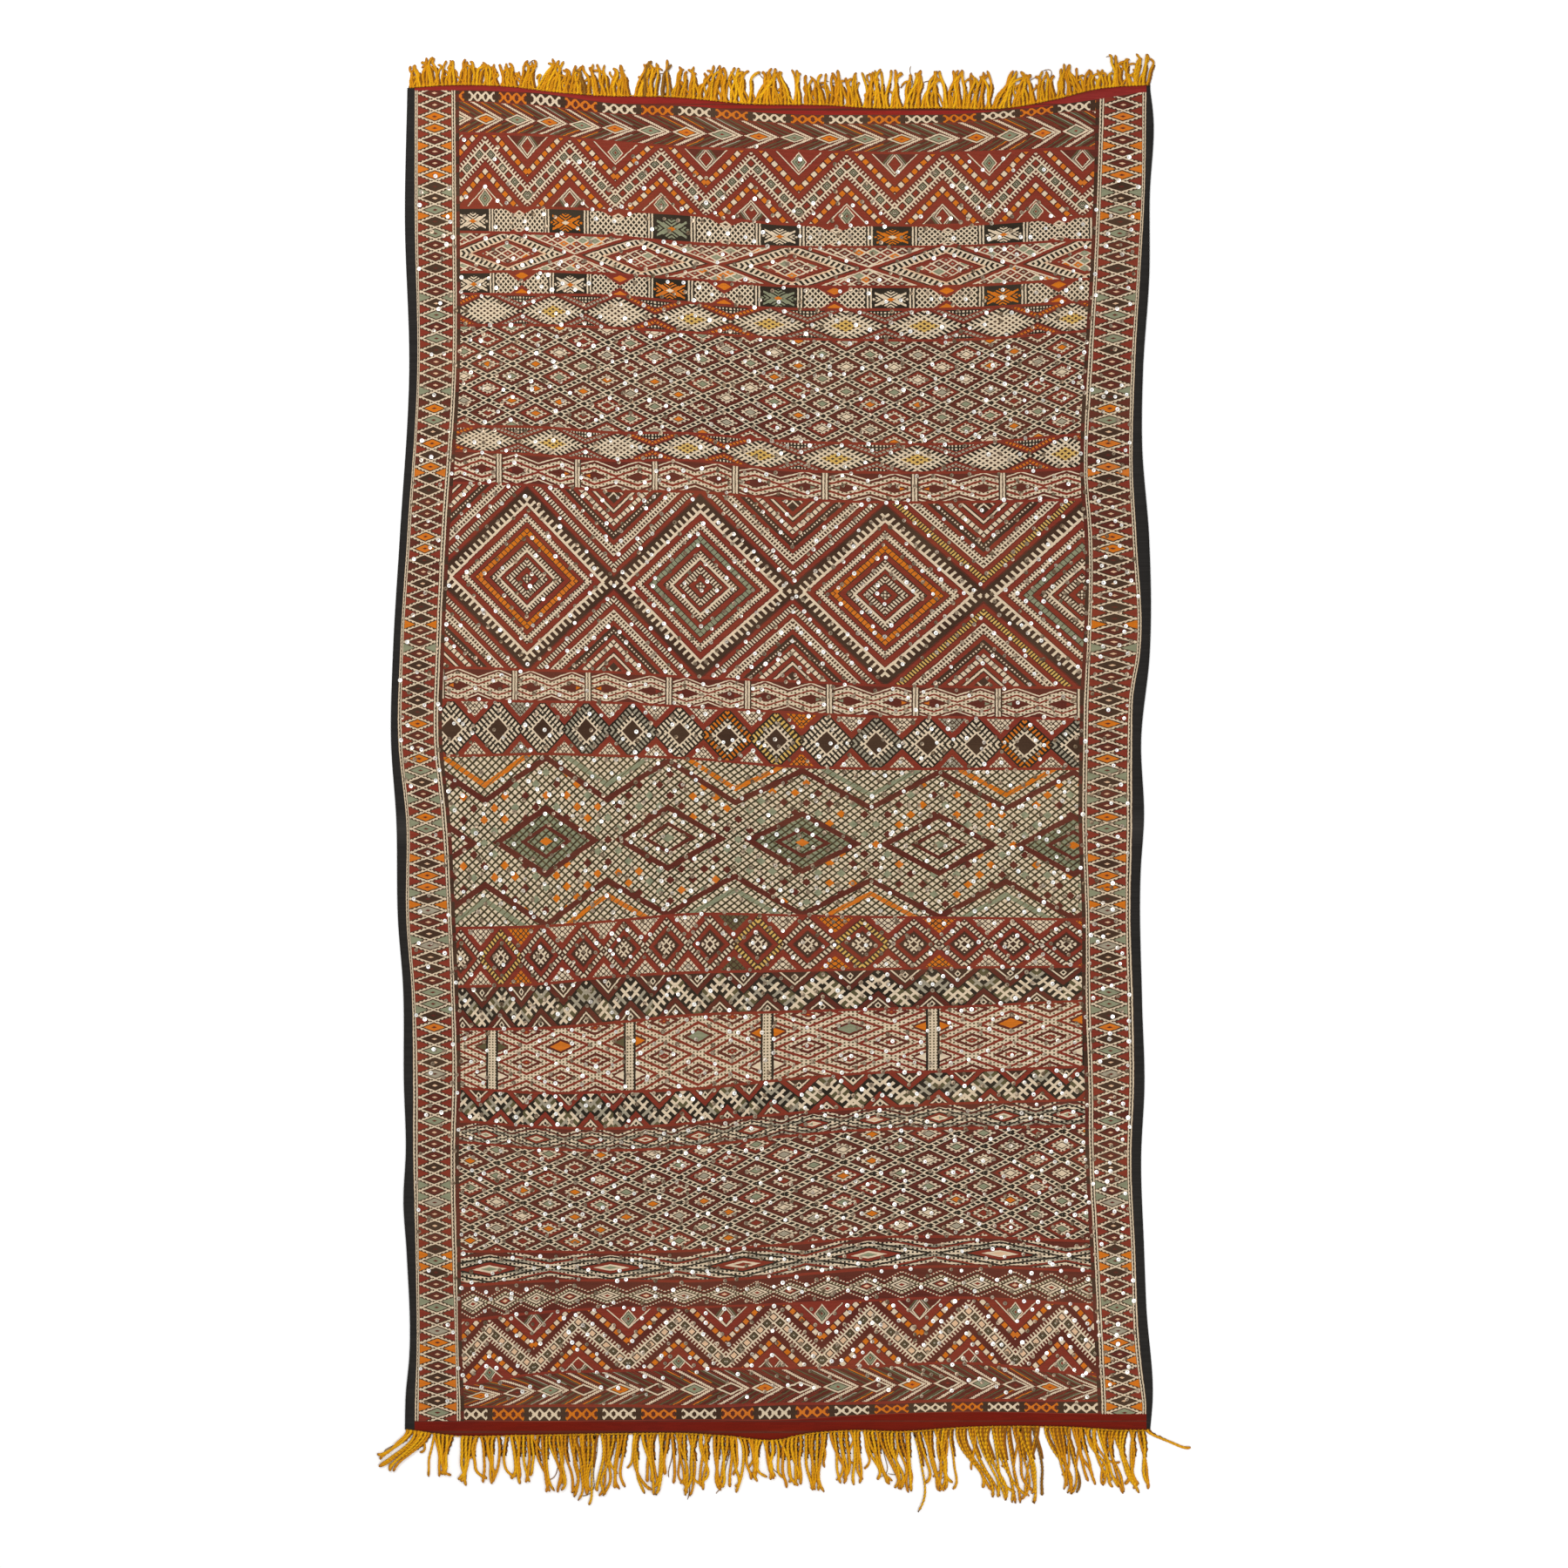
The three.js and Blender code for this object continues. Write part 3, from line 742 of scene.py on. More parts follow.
def boxes(across, down, height, pitch, star_half, orange_corners=False):
    number, x = motif(across, pitch)
    y = abs(down - height / 2)
    aside = abs(x)
    beside = pitch / 2 - aside
    eyes = (fold(x / 6.2 + down / 6.6, 1.0) > 0.17) * (fold(x / 6.2 - down / 6.6, 1.0) > 0.17)
    if orange_corners:
        notch = y > 1.0 + beside * 0.62
        corner = pick(beside * 0.5 + abs(y - 9.5) < 4.2, ORANGE, RED)
    else:
        notch = y > 5.5 + beside * 0.42
        corner = steps(beside * 0.55 + abs(y - 9.0), [(1.6, BROWN), (3.6, CREAM), (REST, RED)])
    net = pick(notch, corner, pick(eyes, BLACK, CREAM))
    arm = (abs(y - aside * 0.42) < 1.2) * (aside < 17)
    branch = (fold(aside - y * 1.7, 5.8) < 1.45) * (aside + y * 1.9 < 21)
    turn = (number + (1.0 if orange_corners else 2.0)) % 3
    sage = (abs(turn - 1.0) < 0.5) * ((number + orange_corners) % 2 < 0.5)
    star_yarn = pick(turn < 0.5, ORANGE, pick(sage, GREEN, CREAM))
    star = pick(arm.most(branch) * (y < 10), star_yarn, BLACK)
    star = pick(aside * 0.5 + y < 2.4, pick(turn < 0.5, CREAM, ORANGE), star)
    bar = steps(aside, [(star_half + end, yarn) for end, yarn in BOX_BARS] + [(REST, B)])
    return fill(bar, {A: star, B: net})


# %% [markdown]
# One band of flat lozenges is edged with slanting hooks like a row of keys, and both the lozenges
# and the ground between them are filled with a trellis of small diamonds. The trellis is two sets
# of slanting lines, and the dice give each of its meshes a yarn.

# %% Band of key lozenges


def key_lozenges(across, down, height, pitch):
    number, x = motif(across, pitch)
    along = down - height / 2
    y = abs(along)
    ring = y + abs(x) * 0.36
    run = abs(x) - y * 0.97
    weft = pick(ring > 32.0, across * pitch, x)
    left = weft / 15.5 + along / 8.6
    right = weft / 15.5 - along / 8.6
    line = (fold(left, 1.0) > 0.4).most(fold(right, 1.0) > 0.4)
    throw = dice((left + 0.5).floor() + number * 5.0, (right + 0.5).floor())
    heart = steps(throw, [(0.45, MAROON), (0.72, RED), (0.9, GREEN), (1.0, ORANGE)])
    hollow = (fold(left, 1.0) < 0.14) * (fold(right, 1.0) < 0.14)
    net = pick(line, CREAM, pick(hollow, GREY, heart))
    hooks = pick(run % 7.4 < 3.7, BLACK, CREAM)
    rings = steps(ring, [
        (11.6, A), (14.8, RED), (16.0, MAROON), (17.6, PEACH), (23.6, B), (25.0, CREAM),
        (26.6, BROWN), (30.2, RED), (31.6, CREAM), (REST, A),
    ])
    return fill(rings, {A: net, B: hooks})


# %% [markdown]
# Two bands of cream net lozenges lie on black, with long pointed ends. Between them run brick
# chevrons with a row of squares, some orange and some grey. The chevrons are the lozenge's own
# outer rings, so they always stay beside it, however wide the band is woven.

# %% Bands of lattice lozenges


def lattice_lozenges(across, down, height, pitch):
    number, x = motif(across, pitch)
    y = abs(down - height / 2)
    tip = height / 2
    aside = abs(x)
    ring = y + aside * (tip * 0.98 / (pitch / 2))
    spikes = fold(aside / 8.3 - y / 5.3, 1.0) < 0.22
    net = (fold(aside / 8.3 + y / 5.3, 1.0) < 0.22) * (ring < tip * 0.8)
    middle = pick((ring < tip * 0.4) * (dice(number, 2.5) > 0.5), YELLOW, CREAM)
    lozenge = pick(spikes.most(net), middle, pick(ring < tip * 0.5, BROWN, BLACK))
    hot = dice(across.floor(), 2.0) > 0.55
    squares = pick((aside - y) % 5.5 < 2.0, MAROON, pick(hot, ORANGE, GREY))
    dots = pick((fold(aside, 3.6) > 1.1) * (y % 3.6 < 2.0), CREAM, BLACK)
    rings = steps(ring, [
        (tip * 1.04, A), (tip * 1.14, MAROON), (tip * 1.24, RED), (tip * 1.4, B),
        (tip * 1.5, RED), (REST, C),
    ])
    return fill(rings, {A: lozenge, B: squares, C: dots})


# %% [markdown]
# Two wide bands are a trellis of small diamonds. Each has a bright heart, a cream outline, a
# dark ring with ticks and a black outer line shared with its neighbours. The diamonds are the
# cells of a slanting grid, so the nearer of two slanting lines says which ring a point is in.

# %% Bands of trellis


def trellis(across, down, height, pitch, row, first):
    slant = (down - first) / (row * 2)
    left, right = across + slant, across - slant
    left_number, right_number = (left + 0.5).floor(), (right + 0.5).floor()
    left_off, right_off = left - left_number, right - right_number
    ring = abs(left_off).most(abs(right_off)) * (2 * row)
    run = pick(abs(left_off) > abs(right_off), right_off, left_off) * (2 * row)
    throw = dice(left_number, right_number)
    heart = steps(throw, [(0.24, ORANGE), (0.46, GREEN), (0.66, RED), (0.8, GREY), (1.0, CREAM)])
    rings = steps(ring, [
        (row * 0.20, A), (row * 0.27, BROWN), (row * 0.36, CREAM), (row * 0.48, B),
        (row * 0.62, D), (row * 0.74, MAROON), (row * 0.80, BLACK), (row * 0.88, CREAM), (REST, C),
    ])
    return fill(rings, {
        A: heart,
        B: pick(run % 4.6 < 2.0, CREAM, BROWN),
        C: pick(run % 5.4 < 1.6, CREAM, BLACK),
        D: pick(dice(left_number, right_number, 6.0) > 0.6, RED, MAROON),
    })


# %% [markdown]
# The braids look like plaited cream straps. Two speckled straps cross in each panel, edged
# with thin red lines, and cream bars part the panels. A strap is a stripe that follows a wave,
# and folding the band at its middle gives the second strap for nothing.

# %% Bands of braid


def speckled(x, down):
    return pick((x % 4.4 < 2.1) * (down % 3.6 < 1.9), OLIVE, CREAM)


def braid(across, down, height, pitch, tight=0.0):
    number, x = motif(across, pitch)
    beside = pitch / 2 - abs(x)
    y = abs(down - height / 2)
    peak = pitch * 0.28
    low, high = 4.0, height * 0.36
    wave = low + (high - low) * (1 - abs(beside - peak) / peak)
    inside = wave - y
    end = steps(dice(number, 4.0), [(0.4, ORANGE), (0.7, GREEN), (1.0, RED)])
    ground = pick(inside > 0, pick(beside > peak * 1.2, end, MAROON), MAROON)
    strap = steps(inside + 12.0, [
        (6.0, B), (7.4, CREAM), (9.4 + tight, MAROON), (13.8, A), (15.6 + tight, RED), (19.2, A),
        (21.0, MAROON), (REST, B),
    ])
    strap = fill(strap, {A: speckled(x, down), B: ground})
    bar = steps(abs(x), [(0.6, BROWN), (2.7, CREAM), (4.4, BROWN), (REST, D)])
    return fill(bar, {D: strap})


# %% [markdown]
# The widest band holds large stepped diamonds, ring inside ring: red bands, cream combs of
# ticks, a row of coloured squares, dark grounds and cream teeth round the outside. A chart of
# two yarns for each ring is enough, one plain and one for the ticks that cross it. A stair holds
# only 32 rows, so the chart is cut in two where one plain red ring ends.

# %% Chart of the medallions
MEDALLION = [
    # (ring ends at, its plain yarn, yarn of its ticks)
    (6.5, BROWN, BROWN), (13, RED, RED), (15, BROWN, BROWN), (23, BROWN, CREAM),
    (24.5, BROWN, BROWN), (29, RED, RED), (30.5, BROWN, BROWN), (34, CREAM, CREAM),
    (40, BROWN, CREAM), (42, BROWN, BROWN), (49, RED, RED), (50.5, BROWN, BROWN), (57.5, A, A),
    (59, BROWN, BROWN), (64.5, RED, RED), (65.5, BROWN, BROWN), (68.2, BROWN, CREAM),
    (70.8, CREAM, CREAM), (74, BROWN, CREAM), (75.5, MAROON, MAROON), (82.5, RED, RED),
    (84, MAROON, MAROON), (87.5, CREAM, CREAM), (104, BROWN, BROWN), (106, MAROON, MAROON),
    (111.5, RED, RED), (112.5, BROWN, BROWN), (120.5, BROWN, C), (122, MAROON, MAROON),
    (127.5, RED, RED),
]
MEDALLION_OUTSIDE = [
    (129, MAROON, MAROON), (131, CREAM, CREAM), (135.5, BROWN, CREAM), (137.5, CREAM, CREAM),
    (141, BROWN, CREAM), (142, MAROON, MAROON), (147.5, RED, RED), (152.5, BROWN, BROWN),
    (155, BROWN, CREAM), (158, BROWN, BROWN), (163, RED, RED), (164, BROWN, BROWN),
    (171, CREAM, BROWN), (172, BROWN, BROWN), (178, RED, RED), (180, BROWN, BROWN),
    (183, CREAM, CREAM), (185, BROWN, BROWN), (191, RED, RED), (250, BROWN, CREAM),
]
MEDALLION_CUT = MEDALLION[-1][0]  # where the chart is cut in two
MEDALLION_WIDTH = 196.0  # from one medallion's middle to the next one's, in rings
print(len(MEDALLION) + len(MEDALLION_OUTSIDE), "rings")

# %% [markdown]
# The ticks run across the rings, so they are counted along a ring's side. The teeth, the
# knotted heart and the dark point between two medallions are laid over the rings last.

# %% Band of medallions


def medallions(across, down, height, pitch):
    number, x = motif(across, pitch)
    y = abs(down - height / 2)
    aside = abs(x) * (MEDALLION_WIDTH / pitch)
    ring = aside + y
    run = aside - y
    far = ring - MEDALLION_CUT
    plain, ticked = (steps(ring, [(row[0], row[i]) for row in MEDALLION]) for i in (1, 2))
    far_plain, far_ticked = (
        steps(far, [(row[0] - MEDALLION_CUT, row[i]) for row in MEDALLION_OUTSIDE]) for i in (1, 2)
    )
    inner = pick(run % 5.0 < 2.4, ticked, plain)
    tick_here = pick(ring > 163, run % 8.2 < 2.2, run % 5.2 < 2.3)
    outer = pick(tick_here, far_ticked, far_plain)
    code = fill(pick(ring < MEDALLION_CUT, inner, outer), {
        A: pick(run % 7.4 < 1.3, BROWN, alternate(number, GREEN, ORANGE)),
        C: pick(dice(across.floor(), 9.0) < 0.4, YELLOW, CREAM),
    })
    tooth = (run % 10.2 < 4.0) * (ring > 87.4) * (ring < 98.0)
    knots = (fold(x, 3.6) > 1.1).most(fold(y, 3.6) > 1.1)
    code = pick(ring < 5.5, pick(knots, BROWN, CREAM), pick(tooth, CREAM, code))
    point = abs(aside - MEDALLION_WIDTH / 2) + abs(y - height / 2 + 9)
    return pick(point < 4, BROWN, code)


# %% [markdown]
# Below the lower braid a chain of dark diamonds is filled with short ticks that lean with its
# edges, between brick-red zigzags, and the triangles outside are a fine check. A narrower band
# under the field repeats it in other sizes. So each band is a small chart, and one rule reads
# both: where a tick falls it looks in the ticked list, and elsewhere in the plain one.

# %% Bands of ticked diamonds
TICK_DIAMONDS = {
    "width": 57.2, "tick_every": 7.0, "tick": 3.4, "heart_throw": 5.0, "corner_throw": 6.0,
    "plain": [(12.8, BROWN), (15.2, CREAM), (33.6, BLACK), (42.0, RED), (REST, B)],
    "ticked": [(12.8, BROWN), (20.8, CREAM), (22.4, BLACK), (31.0, A), (33.6, BLACK), (42.0, RED),
               (REST, B)],
    "hearts": [(0.2, YELLOW), (0.3, ORANGE), (0.5, GREY), (1.0, CREAM)],
    "corners": [(0.12, ORANGE), (0.35, GREY), (1.0, CREAM)],
}
TICK_LATTICE = {
    "width": 54.0, "tick_every": 6.4, "tick": 3.2, "heart_throw": 8.0, "corner_throw": 6.5,
    "plain": [(3.6, BROWN), (5.6, CREAM), (15.0, BROWN), (16.5, MAROON), (22.0, RED),
              (31.2, BROWN), (32.6, MAROON), (40.5, RED), (REST, B)],
    "ticked": [(3.6, BROWN), (11.5, CREAM), (15.0, BROWN), (16.5, MAROON), (22.0, RED),
               (23.6, BROWN), (30.6, A), (32.6, MAROON), (40.5, RED), (REST, B)],
    "hearts": [(0.3, YELLOW), (1.0, CREAM)],
    "corners": [(0.34, ORANGE), (0.42, OLIVE), (1.0, CREAM)],
}


def ticked_diamonds(across, down, height, pitch, chart):
    number, x = motif(across, pitch)
    y = abs(down - height / 2)
    aside = abs(x) * (chart["width"] / pitch)
    ring = aside + y
    run = aside - y
    on_tick = run % chart["tick_every"] < chart["tick"]
    code = pick(on_tick, steps(ring, chart["ticked"]), steps(ring, chart["plain"]))
    heart = steps(dice(number, chart["heart_throw"]), chart["hearts"])
    corner = steps(dice(across.floor(), chart["corner_throw"]), chart["corners"])
    check = (run % 6.4 < 1.6).most(ring % 6.4 < 1.6)
    return fill(code, {A: heart, B: pick(check, BROWN, corner)})


# %% [markdown]
# The large field in the lower half is quieter. Dark olive ground is covered with rows of small
# cream knots and flecks of colour, and a few wide diamonds and chevrons cross it. Knots and
# flecks are both slanting grids, the second nearly three times as wide as the first.

# %% Band of knots


def knot_field(across, down, height, pitch):
    number, x = motif(across, pitch)
    along = down - height / 2
    weft = across * pitch
    ring = abs(along) + abs(x) * 0.58
    left = abs((weft / 9.6 + along / 8.0) % 1.0 - 0.5)
    right = abs((weft / 9.6 - along / 8.0) % 1.0 - 0.5)
    knot = (left < 0.33) * (right < 0.33)
    knot_yarn = pick(ring < 31.0, alternate(number, CREAM, GREEN), CREAM)
    ground = pick(knot, knot_yarn, pick(left < 0.40, OLIVE, BLACK))
    fleck_left = weft / 25.6 + along / 24.2
    fleck_right = weft / 25.6 - along / 24.2
    fleck = (fold(fleck_left, 1.0) < 0.2) * (fold(fleck_right, 1.0) < 0.2)
    throw = dice((fleck_left + 0.5).floor(), (fleck_right + 0.5).floor())
    fleck_yarn = steps(throw, [(0.27, ORANGE), (0.66, MAROON), (1.0, GREEN)])
    chevron = pick((across.floor() + (along > 0)) % 2 > 0.5, ORANGE, GREEN)
    rings = steps(ring, [
        (4.5, B), (13.5, A), (18.0, MAROON), (31.0, A), (38.5, MAROON), (84.0, C),
        (91.5, MAROON), (101.0, A), (107.5, D), (REST, A),
    ])
    return fill(rings, {
        A: ground,
        B: alternate(number, GREEN, ORANGE),
        C: pick(fleck, fleck_yarn, ground),
        D: pick(left < 0.42, chevron, OLIVE),
    })


# %% [markdown]
# Two bands of zigzag look like branches of fir: strokes of cream and grey, long and short by
# turns, cross a thin spine on black, and a plain stripe runs along them. The strokes are cut
# from the ground by their distance from the spine, which is why they can end unevenly.

# %% Bands of barbs


def barbs(across, down, height, pitch, stripe):
    number, x = motif(across, pitch)
    aside = abs(x)
    half = pitch / 2
    climb = 27.0
    slant = aside * (climb / half)
    slope = down - (height / 2 - climb / 2) - slant
    off = abs(slope)
    run = down + slant
    stroke = (run / 10.4).floor()
    reach = pick(stroke % 2 > 0.5, 12.6, 8.6) + dice(stroke, number, 2.0) * 1.6
    barb = (run % 10.4 < 4.6) * (off < reach)
    branch = pick(dice(stroke, number, 4.0) < 0.3, GREY, CREAM)
    ground = pick(dice(stroke, number, 6.0) < 0.35, OLIVE, BLACK)
    rake = pick((off < 1.7).most(barb), branch, ground)
    above = slope < 0
    beside = pick(above, half - aside, aside)
    inward = pick(above, down, height - down)
    figure = steps(beside * 1.15 + abs(inward - 6.0), [(2.2, BLACK), (4.2, CREAM), (REST, BROWN)])
    rings = steps(off, [
        (11.8, A), (13.6, BLACK), (20.0, stripe), (21.8, BROWN), (24.0, CREAM), (REST, B),
    ])
    return fill(rings, {A: rake, B: figure})


# %% [markdown]
# The wide braid is a net of speckled cream straps between stout speckled posts, with red edges
# and small coloured hearts in its meshes. It is the trellis turned inside out: here a point's
# distance from the mesh's edge counts, so that the straps keep one width.

# %% Band of wide braid


def wide_braid(across, down, height, pitch):
    x = motif(across, pitch)[1]
    row = height * 0.238
    slant = (down - height * 0.27) / (row * 2)
    from_edge = (pitch / 2 - abs(x)) / (pitch / 2)
    left, right = from_edge + slant, from_edge - slant
    left_number, right_number = (left + 0.5).floor(), (right + 0.5).floor()
    ring = (0.5 - abs(left - left_number).most(abs(right - right_number))) * (2 * row)
    throw = dice(left_number + across.floor() * 3.0, right_number)
    heart = steps(throw, [(0.3, GREEN), (0.6, ORANGE), (0.75, MAROON), (1.0, CREAM)])
    rings = steps(ring, [
        (2.5, A), (5.6, RED), (9.4, A), (12.6, MAROON), (14.8, A), (17.4, RED), (REST, B),
    ])
    code = fill(rings, {A: speckled(x, down), B: heart})
    by_post = (from_edge > 0.76) * (ring > 7.5)
    post_heart = pick(down > height * 0.6, CREAM, pick(throw < 0.6, ORANGE, OLIVE))
    code = pick(by_post, pick(ring < 10.0, MAROON, post_heart), code)
    middle = (from_edge < 0.3) * (ring > 10.6) * (dice(left_number, right_number, 3.0) > 0.4)
    code = pick(middle, pick(ring < 12.2, MAROON, pick(throw < 0.6, GREEN, ORANGE)), code)
    post = pick((x % 3.8 < 1.9) * (down % 3.4 < 1.8), OLIVE, CREAM)
    return pick(abs(x) < 4.8, post, pick(abs(x) < 7.4, BLACK, code))


# %% [markdown]
# Two narrow bands look like loose plaits. Dark-edged speckled strands run round an open
# diamond, and in the lower one they cross between the diamonds. Rings that reach past the edge
# of the band are cut off there, and that is what makes the strands seem to cross.

# %% Bands of strands


def strands(across, down, height, pitch, crossed=False):
    number, x = motif(across, pitch)
    y = abs(down - height / 2)
    edge = height * 0.42
    reach = pitch / 2 if crossed else pitch / 4
    aside = abs(x) if crossed else fold(across * pitch, pitch / 2)
    ring = y + aside * (edge / reach)
    heart = steps(dice(number, 1.5), [(0.4, GREEN), (0.7, RED), (1.0, PEACH)])
    rings = steps(ring, [
        (edge * 0.14, B), (edge * 0.28, CREAM), (edge * 0.50, RED), (edge * 0.62, BLACK),
        (edge * 0.86, A), (edge * 1.00, BLACK), (edge * 1.24, A),
        (edge * 1.38, RED if crossed else MAROON), (edge * 1.46, BLACK), (edge * 1.66, A),
        (REST, MAROON),
    ])
    pale = pick((down / 3.8).floor() % 3 > 1.5, GREY, CREAM)
    knots = pick((x % 4.8 < 2.5) * (down % 3.8 < 2.1), BLACK, pale)
    gap = (y > edge * 0.9) * (fold(ring, edge * 0.62) < edge * 0.16)
    return pick(gap, MAROON, fill(rings, {A: knots, B: heart}))


# %% [markdown]
# A row of thin diamonds follows, cream and red by turns, whose toothed outlines cross and run
# out to the edges of the band. Teeth are ticks on one ring only, as in the fishbone.

# %% Band of thin diamonds


def thin_diamonds(across, down, height, pitch):
    number, x = motif(across, pitch)
    y = abs(down - height / 2)
    ring = y + abs(x) * (18.8 / pitch)
    toothed = (abs(x) - y) % 4.6 < 2.1
    pale = number % 2 < 0.5
    rings = steps(ring, [
        (1.6, B), (3.2, A), (4.4, BROWN), (6.2, CREAM), (7.6, BROWN), (10.4, C), (12.4, MAROON),
        (13.8, BROWN), (15.4, D), (REST, MAROON),
    ])
    return fill(rings, {
        A: pick(pale, CREAM, RED), B: pick(pale, RED, PEACH),
        C: pick(toothed, CREAM, OLIVE), D: pick(toothed, CREAM, RED),
    })


# %% [markdown]
# Down each side runs the guard border: two toothed cream lines cross and cross again, with
# dark diamonds between them and brick-red triangles at the sides. It is a chain of diamonds
# again, only counted down the rug and not across it.

# %% Side border
GUARD_WIDTH = 40.0
GUARD_PITCH = 13.4


def guard(sideways, along):
    x = abs(sideways - 0.5) * GUARD_WIDTH
    number = (along / GUARD_PITCH + 0.5).floor()
    y = abs(along - number * GUARD_PITCH)
    half = GUARD_PITCH / 2
    ring = x * (half / (GUARD_WIDTH * 0.46)) + y
    throw = dice(number, 11.0)
    heart = steps(throw, [(0.18, ORANGE), (0.3, GREEN), (0.36, GREY), (0.64, BROWN), (1.0, MAROON)])
    side_throw = dice((along / GUARD_PITCH).floor(), 12.0)
    side = steps(side_throw, [(0.16, ORANGE), (0.26, GREEN), (0.36, MAROON), (1.0, RED)])
    rings = steps(ring, [
        (1.2, C), (half - 2.2, A), (half - 0.9, BROWN), (half + 0.4, CREAM), (half + 1.4, D),
        (half + 2.4, BROWN), (REST, B),
    ])
    return fill(rings, {
        A: heart, B: side, C: pick(throw < 0.5, MAROON, PEACH),
        D: pick(x % 4.4 < 2.2, CREAM, BROWN),
    })


# %% [markdown]
# All the yarns are hand-spun wool, so no two passes of weft are quite alike. The wool finish
# takes a yarn number and gives it its dye, an uneven tone from pass to pass, a fine heather of
# fibres, a little dust, and the ribs of the weave in its bump. Real threads could be modelled
# one by one, but there are more than a thousand passes, and from above a bump looks the same.

# %% Small tools of the dyer
DUST = (132, 114, 90)


def dye(rgb):
    """A colour as the eye names it, from 0 to 255, as light."""
    share = np.array(rgb, dtype=float) / 255
    light = np.where(share <= 0.04045, share / 12.92, ((share + 0.055) / 1.055) ** 2.4)
    return tuple(float(c) for c in light)


def rug_mm(finish):
    """Place on the rug in mm: across and along."""
    sides = finish.add("ShaderNodeSeparateXYZ", None, {0: finish.place})
    return sides * 1000.0, sides.other(1) * 1000.0


def grain(finish, stretch, fine, detail=2.0):
    """Cloudy noise from 0 to 1, stretched along the weft."""
    moved = finish.add("ShaderNodeMapping", None, {"Vector": finish.place, "Scale": stretch})
    settings = {"noise_dimensions": "3D"}
    return finish.add("ShaderNodeTexNoise", settings, {"Vector": moved, "Scale": fine, "Detail": detail})


def blend(finish, share, colour, tint):
    """Lets a second colour show through by a share: a dye, dust or a painted shade."""
    settings = {"data_type": "RGBA", "blend_type": "MIX"}
    return finish.add("ShaderNodeMix", settings, {0: share, 6: colour, 7: (*dye(tint), 1.0)}, output=2)


def coated(finish, looks):
    """Closes a finish: one shader with these looks, joined to the output."""
    coat = finish.add("ShaderNodeBsdfPrincipled", None, looks)
    finish.add("ShaderNodeOutputMaterial", None, {"Surface": coat})
    return finish.material


# %% [markdown]
# The wool itself is one recipe for all the cloth. Its tone changes from one length of weft to
# the next, because each was dyed and spun by hand, and its bump has a rib for each pass of the
# weft and a dimple between each two warps.

# %% Wool
HEATHER = {"stretch": (1.0, 3.0, 1.0), "fine": 420.0}
WARP_PITCH = 3.4  # mm
WEFT_LENGTH = 31.0  # mm of weft that keep one tone


def wool(finish, code, rib=1.9, dust=0.3):
    x, y = rug_mm(finish)
    stops = [(i / len(YARNS), dye(rgb)) for i, rgb in enumerate(YARNS.values())]
    settings = {"between_stops": "CONSTANT", "stops": stops}
    colour = finish.add("ShaderNodeValToRGB", settings, {0: (code + 0.5) / len(YARNS)})
    passes = (y / rib).floor()
    length = dice(passes, (x / WEFT_LENGTH + dice(passes, 1.0, 3.0)).floor(), 1.0)
    heather = grain(finish, **HEATHER)
    slow = grain(finish, (0.35, 1.6, 1.0), 7.0)
    toned = finish.add("ShaderNodeHueSaturation", None, {
        "Saturation": 0.94 + slow * 0.14,
        "Value": 0.60 + length * 0.2 + heather * 0.4 + slow * 0.2,
        "Color": colour,
    })
    worn = blend(finish, (heather * 0.5 + slow - 0.6).most(0.0) * dust, toned, DUST)
    ribs = abs((y / rib) % 1.0 - 0.5) * 2.0
    warps = abs((x / WARP_PITCH + passes * 0.5) % 1.0 - 0.5)
    height = 1.0 - ribs * ribs * 0.7 - warps * 0.5 + heather * 0.8
    bump = finish.add("ShaderNodeBump", None, {"Strength": 0.4, "Distance": 0.0006, "Height": height})
    return coated(finish, {
        "Base Color": worn, "Roughness": 0.82 + heather * 0.16, "Specular IOR Level": 0.1,
        "Sheen Weight": 0.03, "Sheen Roughness": 0.5, "Sheen Tint": (1.0, 0.9, 0.8, 1.0),
        "Normal": bump,
    })


# %% [markdown]
# A hand at the loom wanders a little. So the place in the band, which the sheet's map gives, is
# moved by a soft noise and a fine one before a chart reads it.

# %% Place in the weave


def weave_place(finish):
    on_map = finish.add("ShaderNodeUVMap", {"uv_map": "weave"})
    across = finish.add("ShaderNodeSeparateXYZ", None, {0: on_map})
    return across, across.other(1)


def hand(finish, amount):
    """How far the weaver's hand strays here, in steps."""
    wander = grain(finish, (1.0, 1.0, 1.0), 26.0)
    jitter = grain(finish, (0.6, 1.0, 1.0), 260.0, 0.0)
    return ((wander - 0.5) * 1.1 + (jitter - 0.5)) * (2.0 * amount)


# %% [markdown]
# Each band now gets its finish: its own chart, its measured height and pitch, and the thin red
# line of plain weave that closes it off from the next. One loop makes all 25, because
# they differ only in their chart.

